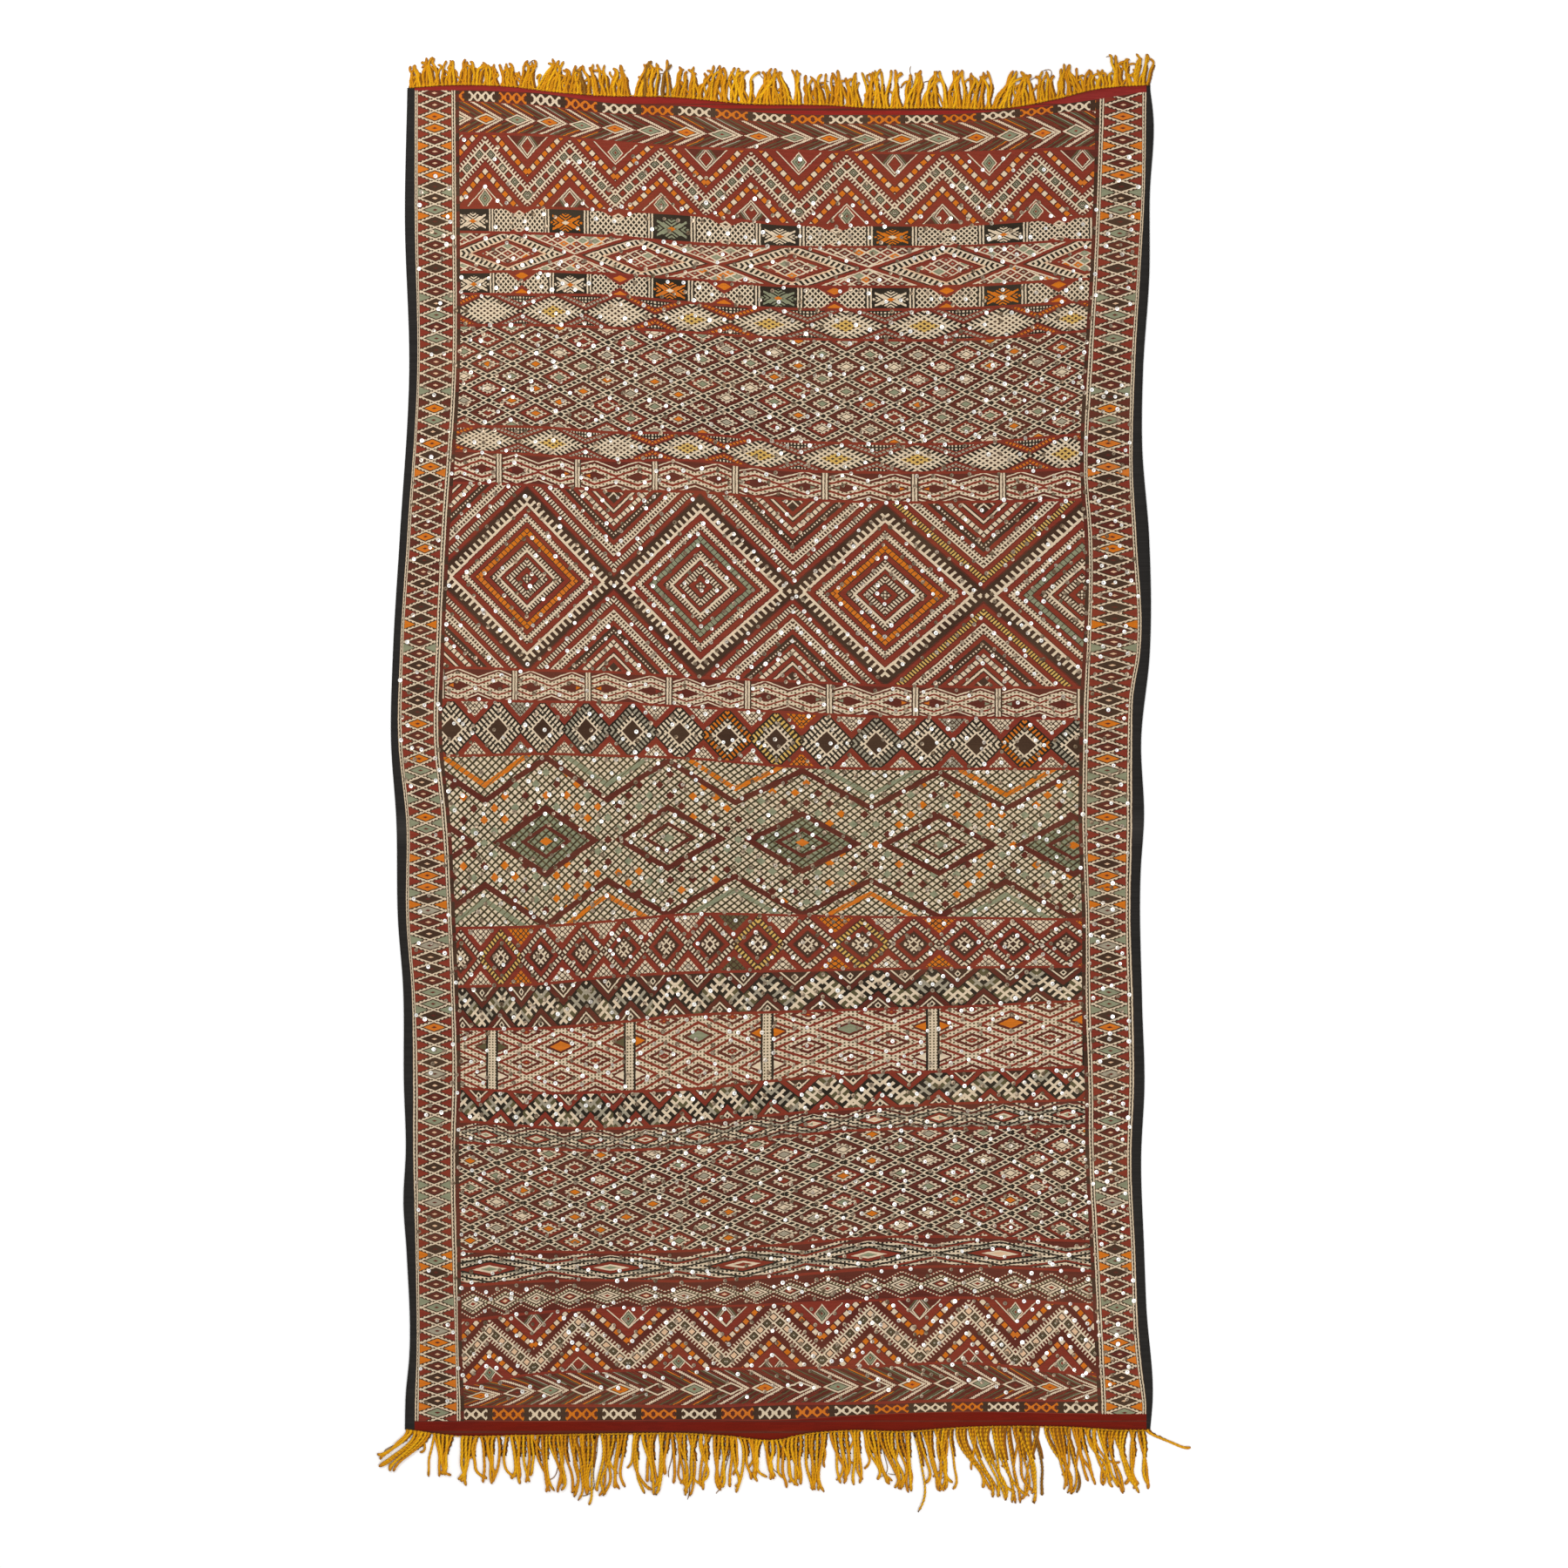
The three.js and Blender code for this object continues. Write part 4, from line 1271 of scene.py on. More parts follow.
# %% Finishes of the bands
CHARTS = {
    # band: (chart, what the chart also needs)
    "stars_top": (stars,), "fishbone_top": (fishbone,), "zigzag_top": (zigzag,),
    "star_boxes": (boxes, 20.5), "key_lozenges": (key_lozenges,), "net_boxes": (boxes, 19.5, True),
    "lattice_upper": (lattice_lozenges,), "trellis_upper": (trellis, 14.2, 15.0),
    "lattice_lower": (lattice_lozenges,), "braid_upper": (braid, 0.8), "medallions": (medallions,),
    "braid_lower": (braid,), "tick_diamonds": (ticked_diamonds, TICK_DIAMONDS),
    "knot_field": (knot_field,), "tick_lattice": (ticked_diamonds, TICK_LATTICE),
    "barbs_upper": (barbs, MAROON), "wide_braid": (wide_braid,), "barbs_lower": (barbs, RED),
    "small_key": (strands,), "trellis_lower": (trellis, 15.0, 19.0), "strands": (strands, True),
    "thin_diamonds": (thin_diamonds,),
    "zigzag_bottom": (zigzag, (OLIVE, PEACH), PEACH, MAROON, 13.0, 0.95),
    "fishbone_bottom": (fishbone, 2), "stars_bottom": (stars,),
}
CLOSING_LINE = 3.0  # height of the red line under each band, in steps
STAR_LINE = 0.8  # the stars fill their bands almost to the edge

for band in BANDS:
    finish = Finish("wool_" + band["name"])
    across, share = weave_place(finish)
    across = across + hand(finish, 0.45) / band["pitch"]
    down = share * band["height"]
    wavy = down + hand(finish, 0.4)
    chart, *needs = CHARTS[band["name"]]
    code = chart(across, wavy, band["height"], band["pitch"], *needs)
    closing = STAR_LINE if chart is stars else CLOSING_LINE
    code = pick(down > band["height"] - closing, RED, code)
    band["finish"] = wool(finish, code)
    print(band["name"], len(finish.tree.nodes), "nodes")

# %% [markdown]
# The borders use the same wool. A cream line is two cords with a dark thread between, and the
# left one is toothed along that thread. The dark strip may change yarn every nine passes or so.
# The hems are plain weft-faced ends, brick red at the top and dark madder at the bottom.

# %% Finishes of the borders and hems
CREAM_LINE_WIDTH = 5.0  # steps
side_finishes = {}

finish = Finish("wool_guard")
across, down = weave_place(finish)
code = guard(across + hand(finish, 0.4) / GUARD_WIDTH, down + hand(finish, 0.4))
side_finishes["guard"] = wool(finish, code)

finish = Finish("wool_cream_line")
across, down = weave_place(finish)
cords = steps(across + hand(finish, 0.3) / CREAM_LINE_WIDTH, [
    (0.10, BROWN), (0.32, CREAM), (0.42, A), (0.64, BLACK), (0.90, CREAM), (1.0, BROWN),
])
code = fill(cords, {A: pick(down % 4.4 < 2.2, CREAM, BROWN)})
side_finishes["cream_line"] = wool(finish, code)

finish = Finish("wool_dark_strip")
down = weave_place(finish)[1]
code = pick(dice((down / 9.0).floor(), 4.0) > 0.5, BROWN, MAROON)
side_finishes["dark"] = wool(finish, code)

hem_finishes = []
for name, yarn in (("top", BRICK), ("bottom", HEM)):
    finish = Finish("wool_hem_" + name)
    passes = (rug_mm(finish)[1] / 2.4).floor()
    code = pick(dice(passes, 5.0) > 0.93, MAROON, yarn)
    hem_finishes.append(wool(finish, code, rib=2.4, dust=0.08))
print(len(side_finishes) + len(hem_finishes), "plain finishes")

# %% [markdown]
# The black selvedge is goat-dark and almost plain, only a little lighter here and there, most of
# all at one place near its middle. It has no chart, so it gets a shorter finish of its own.

# %% Finish of the black selvedge
SELVEDGE_RIB = 2.2  # mm
FADED_AT = -91.0  # mm along the rug
FADED_REACH = 40.0  # mm

finish = Finish("wool_black_selvedge")
y_mm = rug_mm(finish)[1]
slow = grain(finish, (0.1, 1.0, 1.0), 9.0)
faded = (1.0 - abs(y_mm - FADED_AT) / FADED_REACH).most(0.0)
tone = 0.7 + dice((y_mm / SELVEDGE_RIB).floor(), 2.0) * 0.35 + slow * 0.5 + faded * 0.9
charcoal = finish.add("ShaderNodeHueSaturation", None, {
    "Value": tone, "Color": (*dye((33, 31, 29)), 1.0),
})
height = grain(finish, **HEATHER) - abs((y_mm / SELVEDGE_RIB) % 1.0 - 0.5)
bump = finish.add("ShaderNodeBump", None, {"Strength": 0.4, "Distance": 0.0005, "Height": height})
side_finishes["black"] = coated(finish, {
    "Base Color": charcoal, "Roughness": 0.9, "Specular IOR Level": 0.12, "Sheen Weight": 0.04,
    "Normal": bump,
})

# %% [markdown]
# A piece holds its finishes in numbered slots, and each face names one. A face takes the finish
# of its side border, and in the field that of its band. Past the first and the last band it is
# part of a hem, but for the outermost columns, where the selvedge runs through to the ends.

# %% Every face gets the finish of its zone
finish_order = [band["finish"] for band in BANDS] + list(side_finishes.values()) + hem_finishes
TOP_HEM_SLOT = len(finish_order) - 2
BOTTOM_HEM_SLOT = len(finish_order) - 1
for material in finish_order:
    mesh.materials.append(material)
side_names = list(side_finishes)
side_slot = np.array([
    len(BANDS) + side_names.index(zone) if zone in side_finishes else -1 for zone in COLUMN_ZONES
])
face_slot = side_slot[face_side]
face_slot = np.where(face_slot < 0, face_band, face_slot)
inside_black = face_side % (len(COLUMN_ZONES) - 1) != 0
face_slot = np.where((face_band < 0) & inside_black, TOP_HEM_SLOT, face_slot)
face_slot = np.where((face_band >= len(BANDS)) & inside_black, BOTTOM_HEM_SLOT, face_slot)
mesh.polygons.foreach_set("material_index", face_slot)
mesh.update()
print(len(finish_order), "finishes on the cloth")

# %% [markdown]
# The warp ends are finished as a golden fringe. Every few warps are knotted against the hem and
# twisted into a two-ply cord nearly as thick as a pencil, seven to eight millimetres apart.
# Handling has gathered the cords into locks, which lean, cross and curl. Hair tools could grow
# them, but a short table of locks keeps each bunch where it lies. A row gives the stretch of hem
# that a lock grows from, where its tips lie and how far it reaches, in millimetres.

# %% Locks of the fringe
# (from, to, tips from, tips to, end)
TOP_LOCKS = [
    (-784, -757, -784, -766, 1503), (-757, -720, -752, -729, 1519), (-716, -685, -706, -688, 1513),
    (-685, -646, -671, -650, 1517), (-644, -610, -636, -613, 1511), (-610, -558, -606, -564, 1506),
    (-556, -520, -541, -518, 1512), (-520, -464, -493, -462, 1516), (-464, -405, -452, -418, 1502),
    (-398, -364, -401, -374, 1505), (-364, -322, -350, -332, 1502), (-314, -266, -288, -264, 1515),
    (-256, -233, -250, -240, 1515), (-233, -178, -217, -184, 1500), (-178, -115, -155, -124, 1502),
    (-115, -75, -103, -82, 1499), (-75, 13, -56, -2, 1496), (13, 36, 14, 27, 1493),
    (44, 93, 46, 86, 1484), (93, 132, 100, 123, 1492), (132, 170, 134, 162, 1489),
    (170, 213, 183, 206, 1494), (213, 248, 220, 244, 1493), (248, 284, 258, 286, 1491),
    (286, 343, 312, 333, 1490), (343, 379, 354, 378, 1493), (379, 432, 402, 430, 1492),
    (432, 526, 474, 517, 1490), (526, 567, 533, 560, 1490), (567, 625, 572, 611, 1505),
    (625, 683, 639, 678, 1494), (683, 695, 686, 686, 1533), (695, 726, 694, 714, 1528),
    (726, 762, 728, 779, 1526),
]
BOTTOM_LOCKS = [
    (-790, -775, -847, -838, -1414), (-775, -737, -836, -806, -1438), (-736, -690, -732, -697, -1456),
    (-675, -650, -675, -664, -1467), (-646, -594, -635, -597, -1462), (-584, -522, -571, -524, -1464),
    (-518, -460, -488, -460, -1484), (-460, -422, -440, -424, -1497), (-422, -398, -414, -406, -1490),
    (-398, -387, -397, -397, -1533), (-387, -352, -384, -372, -1496), (-352, -325, -348, -330, -1479),
    (-318, -247, -288, -258, -1486), (-245, -231, -241, -235, -1464), (-230, -188, -213, -192, -1488),
    (-187, -151, -178, -157, -1483), (-150, -90, -138, -93, -1480), (-87, -46, -68, -44, -1461),
    (-46, -14, -30, -10, -1459), (-14, 6, -4, 4, -1472), (6, 38, 16, 38, -1475),
    (42, 90, 60, 82, -1485), (93, 159, 113, 155, -1465), (163, 196, 204, 224, -1463),
    (196, 264, 238, 268, -1482), (264, 275, 278, 278, -1533), (275, 354, 298, 354, -1484),
    (356, 398, 421, 450, -1494), (398, 471, 460, 499, -1503), (473, 532, 506, 533, -1505),
    (542, 597, 573, 612, -1486), (598, 650, 635, 675, -1467), (650, 752, 695, 760, -1483),
    (752, 764, 838, 847, -1398),
]
print(len(TOP_LOCKS), "locks at the top,", len(BOTTOM_LOCKS), "at the bottom")

# %% [markdown]
# A cord's middle line is one lazy bend with a little wave in it, and some cords end in a curl.
# Its skin is a tube of rings, six points each. Two plies make a cord a little wider than it is
# thick, so the ring is an oval that turns along the cord. It swells at the knot and again just
# before the tip.

# %% One cord
CORD_SIDES = 6
CORD_RINGS = 20
TWIST = 21.0  # mm for a full turn of the two plies
FLATNESS = 0.88  # a cord's thickness as a share of its width
LYING_FLAT = 0.85  # its own weight flattens it on the floor
LEAN = 0.12  # how far it strays to the side, as a share of its length
WAVE = (0.8, 3.4)  # mm to the side
CURL_STARTS = 0.66  # share of the way from the hem to the tip
CURL_TURN = 2.4  # radians
KNOT_SHAPE = ([0, 2.5, 5, 8.5, 12], [0.95, 1.2, 1.15, 0.86, 1.0])  # mm from the hem, width
TIP_SHAPE = ([0, 2, 5, 14], [0.6, 1.0, 1.1, 1.0])  # mm from the tip, width
LOWEST = 0.05  # mm above the floor


def cord_path(root, tip, outward, chance, curl):
    """A cord's middle line in mm: straight out of the hem, a lazy bend, then to its tip."""
    t = np.linspace(0, 1, CORD_RINGS)[:, None]
    length = abs(tip[1] - root[1])
    lean = chance.normal(0, LEAN, 2) * length
    first = np.array([root[0] + lean[0] * 0.7, root[1] + outward * length * 0.36])
    second = np.array([tip[0] - lean[1], tip[1] - outward * length * 0.3])
    path = root * (1 - t) ** 3 + 3 * first * t * (1 - t) ** 2 + 3 * second * t**2 * (1 - t) + tip * t**3
    wave = chance.uniform(*WAVE) * np.sin(t * chance.uniform(6, 13) + chance.uniform(0, 6)) * t ** 0.7
    path = path + np.hstack([wave, 0 * wave])
    bend = np.clip((t - CURL_STARTS) / (1 - CURL_STARTS), 0, 1) * CURL_TURN
    swing = (1 - np.cos(bend)) * curl
    back = np.sin(bend) * abs(curl) - bend * abs(curl)
    return path + np.hstack([swing, outward * back])


def cord_shape(path, height, width, chance, knotted=True):
    """Rings of points round the middle line of a cord, turning as the plies do."""
    step = np.gradient(path, axis=0)
    step /= np.linalg.norm(step, axis=1)[:, None] + 1e-9
    sideways = np.column_stack([-step[:, 1], step[:, 0]])
    run = np.concatenate([[0], np.cumsum(np.linalg.norm(np.diff(path, axis=0), axis=1))])
    swell = np.interp(run, *KNOT_SHAPE) if knotted else np.ones(len(run))
    swell = swell * np.interp(run[-1] - run, *TIP_SHAPE)
    around = np.arange(CORD_SIDES) / CORD_SIDES * 2 * math.pi
    turn = (2 * math.pi * run / TWIST + chance.uniform(0, 6.28))[:, None]
    wide = 0.5 * width * np.cos(around)[None, :]
    thin = 0.5 * FLATNESS * width * np.sin(around)[None, :]
    side = (wide * np.cos(turn) - thin * np.sin(turn)) * swell[:, None]
    up = (wide * np.sin(turn) + thin * np.cos(turn)) * swell[:, None] * LYING_FLAT
    points = np.zeros((len(run), CORD_SIDES, 3))
    points[:, :, :2] = path[:, None, :] + sideways[:, None, :] * side[:, :, None]
    points[:, :, 2] = np.maximum(height[:, None] + up, LOWEST)
    # How near each point lies to the cord's side, 0 in the middle and 1 at the side; the fringe finish
    # paints shade with it, darker toward the sides.
    side_shade_share = np.abs(side) / (0.5 * width * swell[:, None])
    return points, run, side_shade_share


# %% [markdown]
# A fringe is all its cords in one piece, because hundreds of loose ones would be slow to handle.
# Each lock lays its own cords side by side, with a short lower cord in the gap beside each, painted
# darker as shade.
# Some thinner ones cross over, and here and there lies a loose bare warp. A last cord is twined
# along the hem over all the knots. The dice are thrown in one fixed order, so the fringe is
# always the same.

# %% The two fringes
# UNDER_SHADED is the kind of the short lower cords in the gaps, which the finish paints darker as shade.
GOLDEN, DULL, PALE, UNDER_SHADED = 0.0, 1.0, 2.0, 3.0  # kinds of cord
KIND_CHANCES = [0.97, 0.02, 0.01]  # golden, dull and pale
CORD_HEIGHT, UNDER_HEIGHT, CROSSING_HEIGHT, WARP_HEIGHT, TWINED_HEIGHT = 2.6, 1.5, 2.4, 1.3, 3.4  # mm
WARP_WIDTH, TWINED_WIDTH = 2.0, 3.2  # mm
ROOT_STRAY = 0.5  # mm along the hem
TIP_STRAY = 2.2  # mm
TIP_MIX = 0.16  # how far tips change places in their lock, as a share of its width
UNEVEN = 0.06  # how much the cords of one lock differ in length
CURL_CHANCES = [0.4, 0.3, 0.3]  # straight, to the right and to the left
CURL_SIZE = (2.5, 7.5)  # mm
SIDE_LIMIT = 846  # mm from the middle, where the stray cords end
END_LIMIT = 1532  # mm from the middle
HEM_POINTS = 160  # rings of the cord that is twined along the hem


def fringe(name, locks, edge, outward, gap, width, crossing, under_rings, seed):
    """One end's fringe: all its cords joined in one piece."""
    chance = np.random.default_rng(seed)
    points, faces, on_map, tones = [], [], [], []
    total = 0

    def lay(path, height, thick, kind, tone, knotted):
        nonlocal total
        rings, run, side_shade_share = cord_shape(path, height, thick, chance, knotted)
        count = len(run)
        points.append(rings.reshape(-1, 3))
        for i in range(count - 1):
            for j in range(CORD_SIDES):
                k = (j + 1) % CORD_SIDES
                low, high = total + i * CORD_SIDES, total + (i + 1) * CORD_SIDES
                faces.append((low + j, low + k, high + k, high + j))
                u = (j / CORD_SIDES, (j + 1) / CORD_SIDES)
                left = (run[-1] - run[i]) / 100
                right = (run[-1] - run[i + 1]) / 100
                on_map.extend([(u[0], left), (u[1], left), (u[1], right), (u[0], right)])
        faces.append(tuple(total + j for j in reversed(range(CORD_SIDES))))
        faces.append(tuple(total + (count - 1) * CORD_SIDES + j for j in range(CORD_SIDES)))
        on_map.extend([(0.5, run[-1] / 100)] * CORD_SIDES + [(0.5, 0.0)] * CORD_SIDES)
        tones.extend([(tone, kind, share) for share in side_shade_share.ravel()])
        total += count * CORD_SIDES

    for start, stop, tip_start, tip_stop, end in locks:
        count = max(1, round((stop - start) / gap))
        for i in range(count):
            share = (i + 0.5) / count
            x = start + (stop - start) * share + chance.normal(0, ROOT_STRAY)
            root = np.array([x, edge(x) - outward * 0.8])
            tip_share = np.clip(share + chance.normal(0, TIP_MIX), 0, 1)
            reach = abs(end - root[1]) * (1 - abs(chance.normal(0, UNEVEN)))
            tip = np.array([tip_start + (tip_stop - tip_start) * tip_share, root[1] + outward * reach])
            tip[0] += chance.normal(0, TIP_STRAY)
            curl = chance.choice([0, 1, -1], p=CURL_CHANCES) * chance.uniform(*CURL_SIZE)
            path = cord_path(root, tip, outward, chance, curl)
            lift = chance.uniform(0, 2.4) * np.sin(np.linspace(0.0, 2.4, CORD_RINGS))
            kind = chance.choice([GOLDEN, DULL, PALE], p=KIND_CHANCES)
            thick = width * chance.uniform(0.85, 1.1) * (0.7 if kind == PALE else 1.0)
            lay(path, CORD_HEIGHT + lift, thick, kind, chance.uniform(0, 1), True)
            # A short lower cord in the gap beside it, painted darker as shade.
            below = path[:under_rings:2] + np.array([gap * 0.5, 0.0])
            lay(below, np.full(len(below), UNDER_HEIGHT), width, UNDER_SHADED, chance.uniform(0, 1), False)
        for i in range(round(count * crossing)):
            x = chance.uniform(start, stop)
            root = np.array([x, edge(x) - outward * 0.5])
            aside = chance.normal(0, 16.0)
            reach = abs(end - root[1]) * chance.uniform(0.45, 0.95)
            tip = np.array([x + aside, root[1] + outward * reach])
            path = cord_path(root, tip, outward, chance, chance.normal(0, 6.0))
            path[:, 0] = np.clip(path[:, 0], -SIDE_LIMIT, SIDE_LIMIT)
            level = np.full(CORD_RINGS, CROSSING_HEIGHT)
            lay(path, level, width * 0.8, GOLDEN, chance.uniform(0, 0.8), False)
        for i in range(chance.choice([0, 1])):
            x = chance.uniform(start, stop)
            root = np.array([x, edge(x) - outward * 0.5])
            tip = np.array([chance.uniform(tip_start, tip_stop), end - outward * chance.uniform(-9, 22)])
            path = cord_path(root, tip + chance.normal(0, 5.0, 2), outward, chance, chance.normal(0, 9))
            path[:, 1] = np.clip(path[:, 1], -END_LIMIT, END_LIMIT)
            kind = chance.choice([PALE, DULL])
            level = np.full(CORD_RINGS, WARP_HEIGHT)
            lay(path, level, WARP_WIDTH, kind, chance.uniform(0, 0.8), False)
    across_hem = np.linspace(locks[0][0], locks[-1][1], HEM_POINTS)
    twined = np.column_stack([across_hem, [edge(x) + outward * 1.4 for x in across_hem]])
    lay(twined, np.full(HEM_POINTS, TWINED_HEIGHT), TWINED_WIDTH, GOLDEN, 0.7, False)
    data = bpy.data.meshes.new(name)
    data.from_pydata((np.concatenate(points) * MM).tolist(), [], faces)
    data.uv_layers.new(name="twist").data.foreach_set("uv", np.array(on_map, dtype=float).ravel())
    # The attribute edge holds how near a point lies to its cord's side, for the painted side shade.
    for title, values in zip(("tone", "kind", "edge"), np.array(tones).T.copy()):
        data.attributes.new(title, "FLOAT", "POINT").data.foreach_set("value", values)
    data.polygons.foreach_set("use_smooth", np.ones(len(data.polygons), dtype=bool))
    piece = bpy.data.objects.new(name, data)
    bpy.context.collection.objects.link(piece)
    print(name, len(faces), "faces")
    return piece


fringe_top = fringe(
    "fringe_cords_top", TOP_LOCKS, TOP_EDGE, outward=1, gap=7.2, width=6.6, crossing=0.4,
    under_rings=13, seed=11,
)
fringe_bottom = fringe(
    "fringe_cords_bottom", BOTTOM_LOCKS, BOTTOM_EDGE, outward=-1, gap=8.4, width=7.0, crossing=0.14,
    under_rings=9, seed=12,
)

# %% [markdown]
# The cords are weld-yellow wool with a satin look. The groove between the two plies is painted darker as
# shade, each cord's sides are painted a darker brown as shade, and the lower cords in the gaps are
# painted darker as shade too. The tips have gone orange-brown, and a few ends are the bare grey and
# cream warp. Each piece has one finish only, which reads from its points a cord's tone, its kind and how
# near a point lies to the cord's side, because a finish for every cord would say the same thing hundreds
# of times. The map on each cord runs round it and up from its tip.

# %% Fringe wool
PLY_GROOVE = 6.5  # how steeply a ply falls to the groove
DARK_TIP = 16.0  # mm of each cord that have gone brown

finish = Finish("wool_fringe_gold")
on_cord = finish.add("ShaderNodeUVMap", {"uv_map": "twist"})
around = finish.add("ShaderNodeSeparateXYZ", None, {0: on_cord})
from_tip = around.other(1) * 100.0
# rim reads the edge attribute, which the finish uses to paint shade on each cord's sides.
tone, kind, rim = (
    finish.add("ShaderNodeAttribute", {"attribute_name": title}, output=2)
    for title in ("tone", "kind", "edge")
)
groove = 1.0 - fold(around - 0.25, 0.5) * PLY_GROOVE
fibre = grain(finish, (1.0, 1.0, 1.0), 700.0)
gold_stops = [(0.0, dye((214, 140, 0))), (0.5, dye((228, 160, 2))), (1.0, dye((240, 180, 10)))]
colour = finish.add("ShaderNodeValToRGB", {"stops": gold_stops}, {0: tone})
for share, tint in [
    ((1.0 - from_tip / DARK_TIP).most(0.0) * 0.7, (168, 98, 16)),
    (is_place(kind, DULL), (140, 96, 24)),
    (is_place(kind, PALE), (158, 132, 92)),
    # Painted shade: the lower cords in the gaps are a darker gold-brown.
    (is_place(kind, UNDER_SHADED), (140, 84, 4)),
    # Painted shade: each cord darker brown toward its sides, as where a round cord turns away from the
    # light.
    (rim * rim * 0.62, (112, 62, 0)),
]:
    colour = blend(finish, share, colour, tint)
# Painted shade: the groove between the plies is darker, with a random fibre tone laid over it.
shade = 1.0 - groove.most(0.0) * 0.2 + (fibre - 0.5) * 0.4
shaded = finish.add("ShaderNodeHueSaturation", None, {"Value": shade, "Color": colour})
height = 1.0 - groove.most(0.0) + fibre * 0.5
bump = finish.add("ShaderNodeBump", None, {"Strength": 0.5, "Distance": 0.0008, "Height": height})
coated(finish, {
    "Base Color": shaded, "Roughness": 0.72 + fibre * 0.16, "Specular IOR Level": 0.2,
    "Sheen Weight": 0.03, "Normal": bump,
})
for piece in (fringe_top, fringe_bottom):
    piece.data.materials.append(finish.material)
print(finish.material.name, len(finish.tree.nodes), "nodes")

# %% [markdown]
# Small metal sequins are sewn all over the bands, and more thinly over the side borders, in
# loose rows along the weft. A scatter of points would lose the rows, so this step walks along
# each row from the left, two to four centimetres at a time, and sews a disc or leaves it out.

# %% Where the sequins are sewn
SEQUIN_ROWS = np.arange(166, 1612, 12.4)  # steps down the view
THICKLY_SEWN = [(160, 0.10), (215, 0.22), (240, 0.8), (1570, 1.0), (1600, 0.35)]  # step, share
LEFT_BORDER, ON_LEFT = 46, 0.42  # width in steps, share of the stitches that hold a sequin
RIGHT_BORDER, ON_RIGHT = 52, 0.85
SLOPING_LINE, SLOPING_LINE_AT = 10, 567  # rows follow this band line where they are near it
SLOPE_ENDS = (560, 1000)  # from here the rows get level, and from there on they are
STITCH = (9.5, 25)  # steps from one sequin to the next
ROW_STRAY = 3.2  # steps up or down


def sequin_places(chance):
    """Where the sequins are sewn, in steps of the view."""
    places = []
    steps_down, shares = zip(*THICKLY_SEWN)
    for level in SEQUIN_ROWS:
        thin_out = np.interp(level, steps_down, shares)
        slope = np.interp(level, SLOPE_ENDS, (1.0, 0.0))
        first, last = left_lines[0](level) + 2, right_lines[3](level) - 3
        at = first + chance.uniform(0, 14)
        while at < last:
            on_left, on_right = at < first + LEFT_BORDER, at > last - RIGHT_BORDER
            on_border = ON_LEFT if on_left else ON_RIGHT if on_right else 1.0
            if chance.uniform() < thin_out * on_border:
                lean = (LINES[SLOPING_LINE](at) - SLOPING_LINE_AT) * slope
                places.append((at, level + lean * 0.7 + chance.normal(0, ROW_STRAY)))
            at += chance.uniform(*STITCH)
    return np.array(places)


chance = np.random.default_rng(5)
sewn = sequin_places(chance)
print(len(sewn), "sequins")

# %% [markdown]
# A sequin is a thin dished disc with a hole. One is turned from its section, as on a lathe, and
# copied with its own size, tilt and dullness, because a hand-sewn disc never lies quite flat.
# The upper and the lower half of the rug each get a piece of their own, so that neither grows
# too heavy.

# %% Sequins
SEQUIN_SIDES = 10
SEQUIN_RADIUS = 4.4  # mm, as are the next five
HOLE_RADIUS = 1.1
SEQUIN_THICK = 0.3
RIM_HEIGHT = 0.7
HOLE_HEIGHT = 0.25
MIDDLE_HEIGHT = 0.55
SIZES = (0.84, 1.08)  # the smallest and the largest, as a share of that radius
TILT, MOST_TILT = 0.11, 0.25  # rise for each mm across
profile = [
    (HOLE_RADIUS, HOLE_HEIGHT), (SEQUIN_RADIUS, RIM_HEIGHT),
    (SEQUIN_RADIUS, RIM_HEIGHT - SEQUIN_THICK), (HOLE_RADIUS, HOLE_HEIGHT - SEQUIN_THICK),
]
around = np.arange(SEQUIN_SIDES) / SEQUIN_SIDES * 2 * math.pi
disc = np.array([(r * math.cos(a), r * math.sin(a), z) for a in around for r, z in profile])
disc_faces = []
for i in range(SEQUIN_SIDES):
    j = (i + 1) % SEQUIN_SIDES
    for k in range(4):
        m = (k + 1) % 4
        disc_faces.append((i * 4 + k, i * 4 + m, j * 4 + m, j * 4 + k))
disc_faces = np.array(disc_faces)


def sew_sequins(name, places, chance):
    """One disc at each place, all joined in one piece."""
    points, faces, tones = [], [], []
    for number, (at, level) in enumerate(places):
        x, y = across_m(at), along_m(level)
        size = chance.uniform(*SIZES)
        tilt_x, tilt_y = chance.normal(0, TILT, 2).clip(-MOST_TILT, MOST_TILT)
        shape = disc * size
        shape[:, 2] += MIDDLE_HEIGHT + shape[:, 0] * tilt_x + shape[:, 1] * tilt_y
        shape[:, 2] -= min(shape[:, 2].min(), 0.0)
        shape = shape * MM + np.array([x, y, FIELD_THICK + 0.15 * MM + float(pucker(x, y))])
        points.append(shape)
        faces.append(disc_faces + number * len(disc))
        tones.extend([chance.uniform(0, 1)] * len(disc))
    data = bpy.data.meshes.new(name)
    data.from_pydata(np.concatenate(points).tolist(), [], np.concatenate(faces).tolist())
    data.attributes.new("tone", "FLOAT", "POINT").data.foreach_set("value", np.array(tones))
    data.update()
    piece = bpy.data.objects.new(name, data)
    bpy.context.collection.objects.link(piece)
    print(name, len(places), "sequins,", len(data.polygons), "faces")
    return piece


middle = len(sewn) // 2
halves = {"sequins_upper": sewn[:middle], "sequins_lower": sewn[middle:]}
sequins = [sew_sequins(name, places, chance) for name, places in halves.items()]

# %% [markdown]
# The discs are old tinned metal: about a third of them still shine, the rest have gone
# grey-brown. Each disc's points carry one tone, so one finish serves them all, and a fine noise
# adds the tarnish.

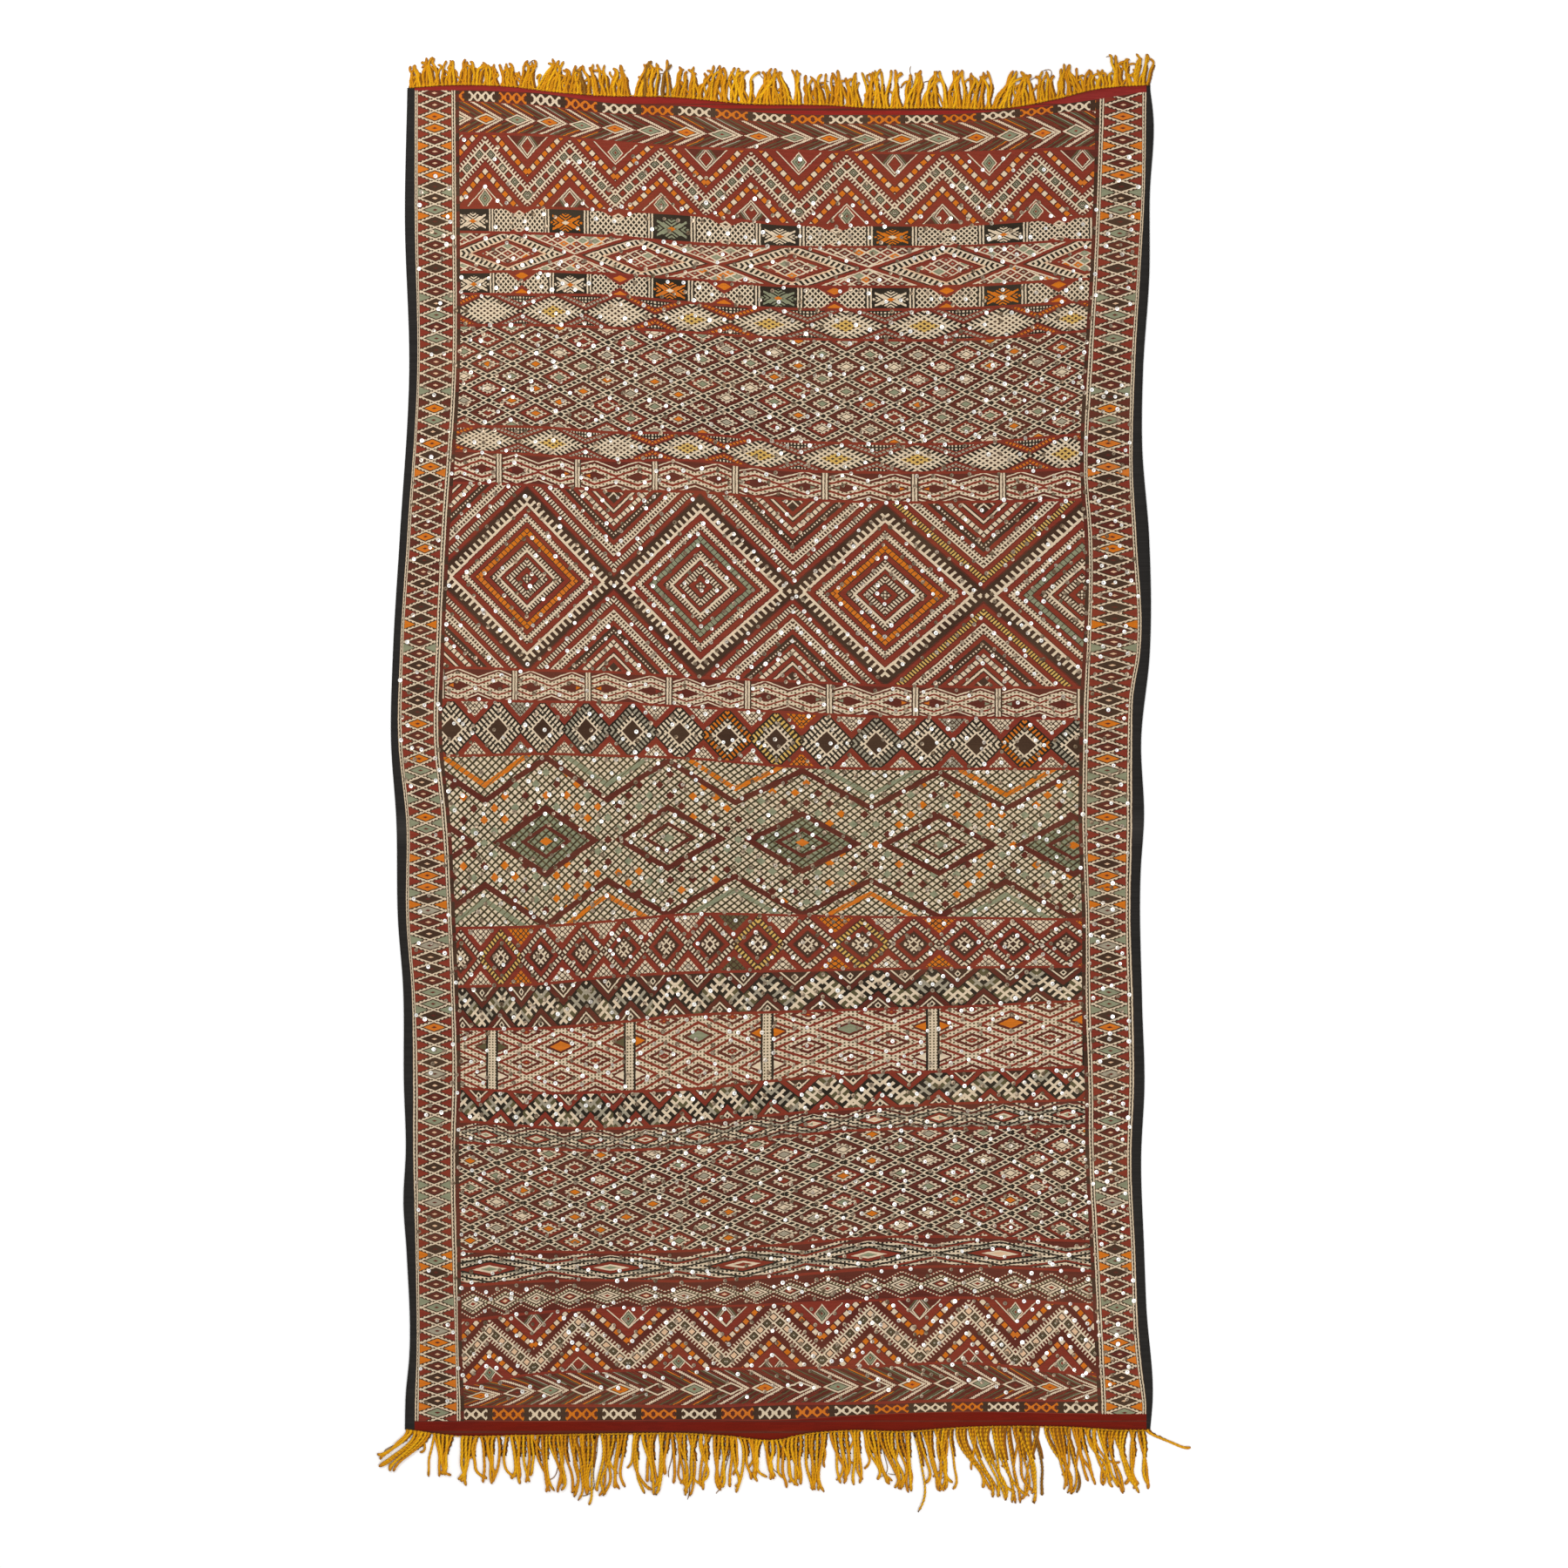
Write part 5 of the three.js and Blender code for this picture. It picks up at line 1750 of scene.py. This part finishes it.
# %% Finish of the sequins
finish = Finish("sequin_metal")
tone = finish.add("ShaderNodeAttribute", {"attribute_name": "tone"}, output=2)
tarnish = grain(finish, (1.0, 1.0, 1.0), 300.0)
metal_stops = [
    (0.0, dye((98, 80, 60))), (0.5, dye((150, 132, 112))), (0.68, dye((226, 222, 214))),
    (1.0, dye((250, 250, 248))),
]
metal = finish.add("ShaderNodeValToRGB", {"stops": metal_stops}, {0: tone + (tarnish - 0.5) * 0.35})
coated(finish, {"Base Color": metal, "Metallic": 0.86, "Roughness": 0.2 + tarnish * 0.35})
for piece in sequins:
    piece.data.materials.append(finish.material)

# %% [markdown]
# The rug lies flat, so its flat size and its area are read off the cloth as it is: half of all its faces
# are on the top.

# %% Flat size of the cloth
def top_area(piece):
    areas = np.zeros(len(piece.data.polygons))
    piece.data.polygons.foreach_get("area", areas)
    return float(areas.sum()) / 2


cloth_low, cloth_high = np.array(cloth.bound_box).min(0), np.array(cloth.bound_box).max(0)
cloth_size = (float(cloth_high[0] - cloth_low[0]), float(cloth_high[1] - cloth_low[1]))
print("cloth", cloth_size, "area", round(top_area(cloth), 3))

# %% [markdown]
# The rug lies on a pale plain floor. A backdrop behind it would show its edge at such a size,
# so the floor is simply much wider than the view, a hair below the rug.

# %% Floor
FLOOR_SIZE = 40
FLOOR_GAP = 0.4 * MM

no_selection()
bpy.ops.mesh.primitive_plane_add(size=FLOOR_SIZE, location=(0, 0, -FLOOR_GAP))
floor = bpy.context.object
floor.name = "floor"
finish = Finish("pale_floor")
cloudy = finish.add("ShaderNodeTexNoise", None, {"Vector": finish.place, "Scale": 0.4})
coated(finish, {"Base Color": (*dye((252, 252, 252)), 1.0), "Roughness": 0.86 + cloudy * 0.1})
floor.data.materials.append(finish.material)
print("floor", FLOOR_SIZE, "m wide")

# %% [markdown]
# The light is a soft even studio light. One lamp alone would leave a dark corner, so two large
# ones hang above opposite corners, turned to the middle of the rug. The one at the upper left is
# smaller and stronger, so that the relief of the wool shows.

# %% Light


def lamp(name, where, size, watts):
    light = bpy.data.lights.new(name, "AREA")
    light.shape = "SQUARE"
    light.size = size
    light.energy = watts
    holder = bpy.data.objects.new(name, light)
    holder.location = where
    direction = -np.array(where)
    holder.rotation_euler = (
        float(math.atan2(math.hypot(direction[0], direction[1]), -direction[2])),
        0.0,
        float(math.atan2(direction[0], -direction[1])),
    )
    bpy.context.collection.objects.link(holder)


lamp("key_light", where=(-2.4, 2.8, 5.2), size=3.0, watts=380)
lamp("fill_light", where=(2.6, -2.8, 5.4), size=4.0, watts=262)
world = bpy.data.worlds.new("studio")
world.use_nodes = True
background = next(node for node in world.node_tree.nodes if node.type == "BACKGROUND")
background.inputs["Color"].default_value = (1.0, 1.0, 1.0, 1.0)
background.inputs["Strength"].default_value = 0.7
bpy.context.scene.world = world
bpy.context.scene.view_settings.view_transform = "Standard"
print("two lamps and a white world")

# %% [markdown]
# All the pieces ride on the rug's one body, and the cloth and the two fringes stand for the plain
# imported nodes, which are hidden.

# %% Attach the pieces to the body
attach(cloth, "root")
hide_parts("kilim_cloth")
top_area(cloth)
for piece, node_name in ((fringe_top, "fringe_top"), (fringe_bottom, "fringe_bottom")):
    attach(piece, "root")
    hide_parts(node_name)
for piece in sequins:
    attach(piece, "root")
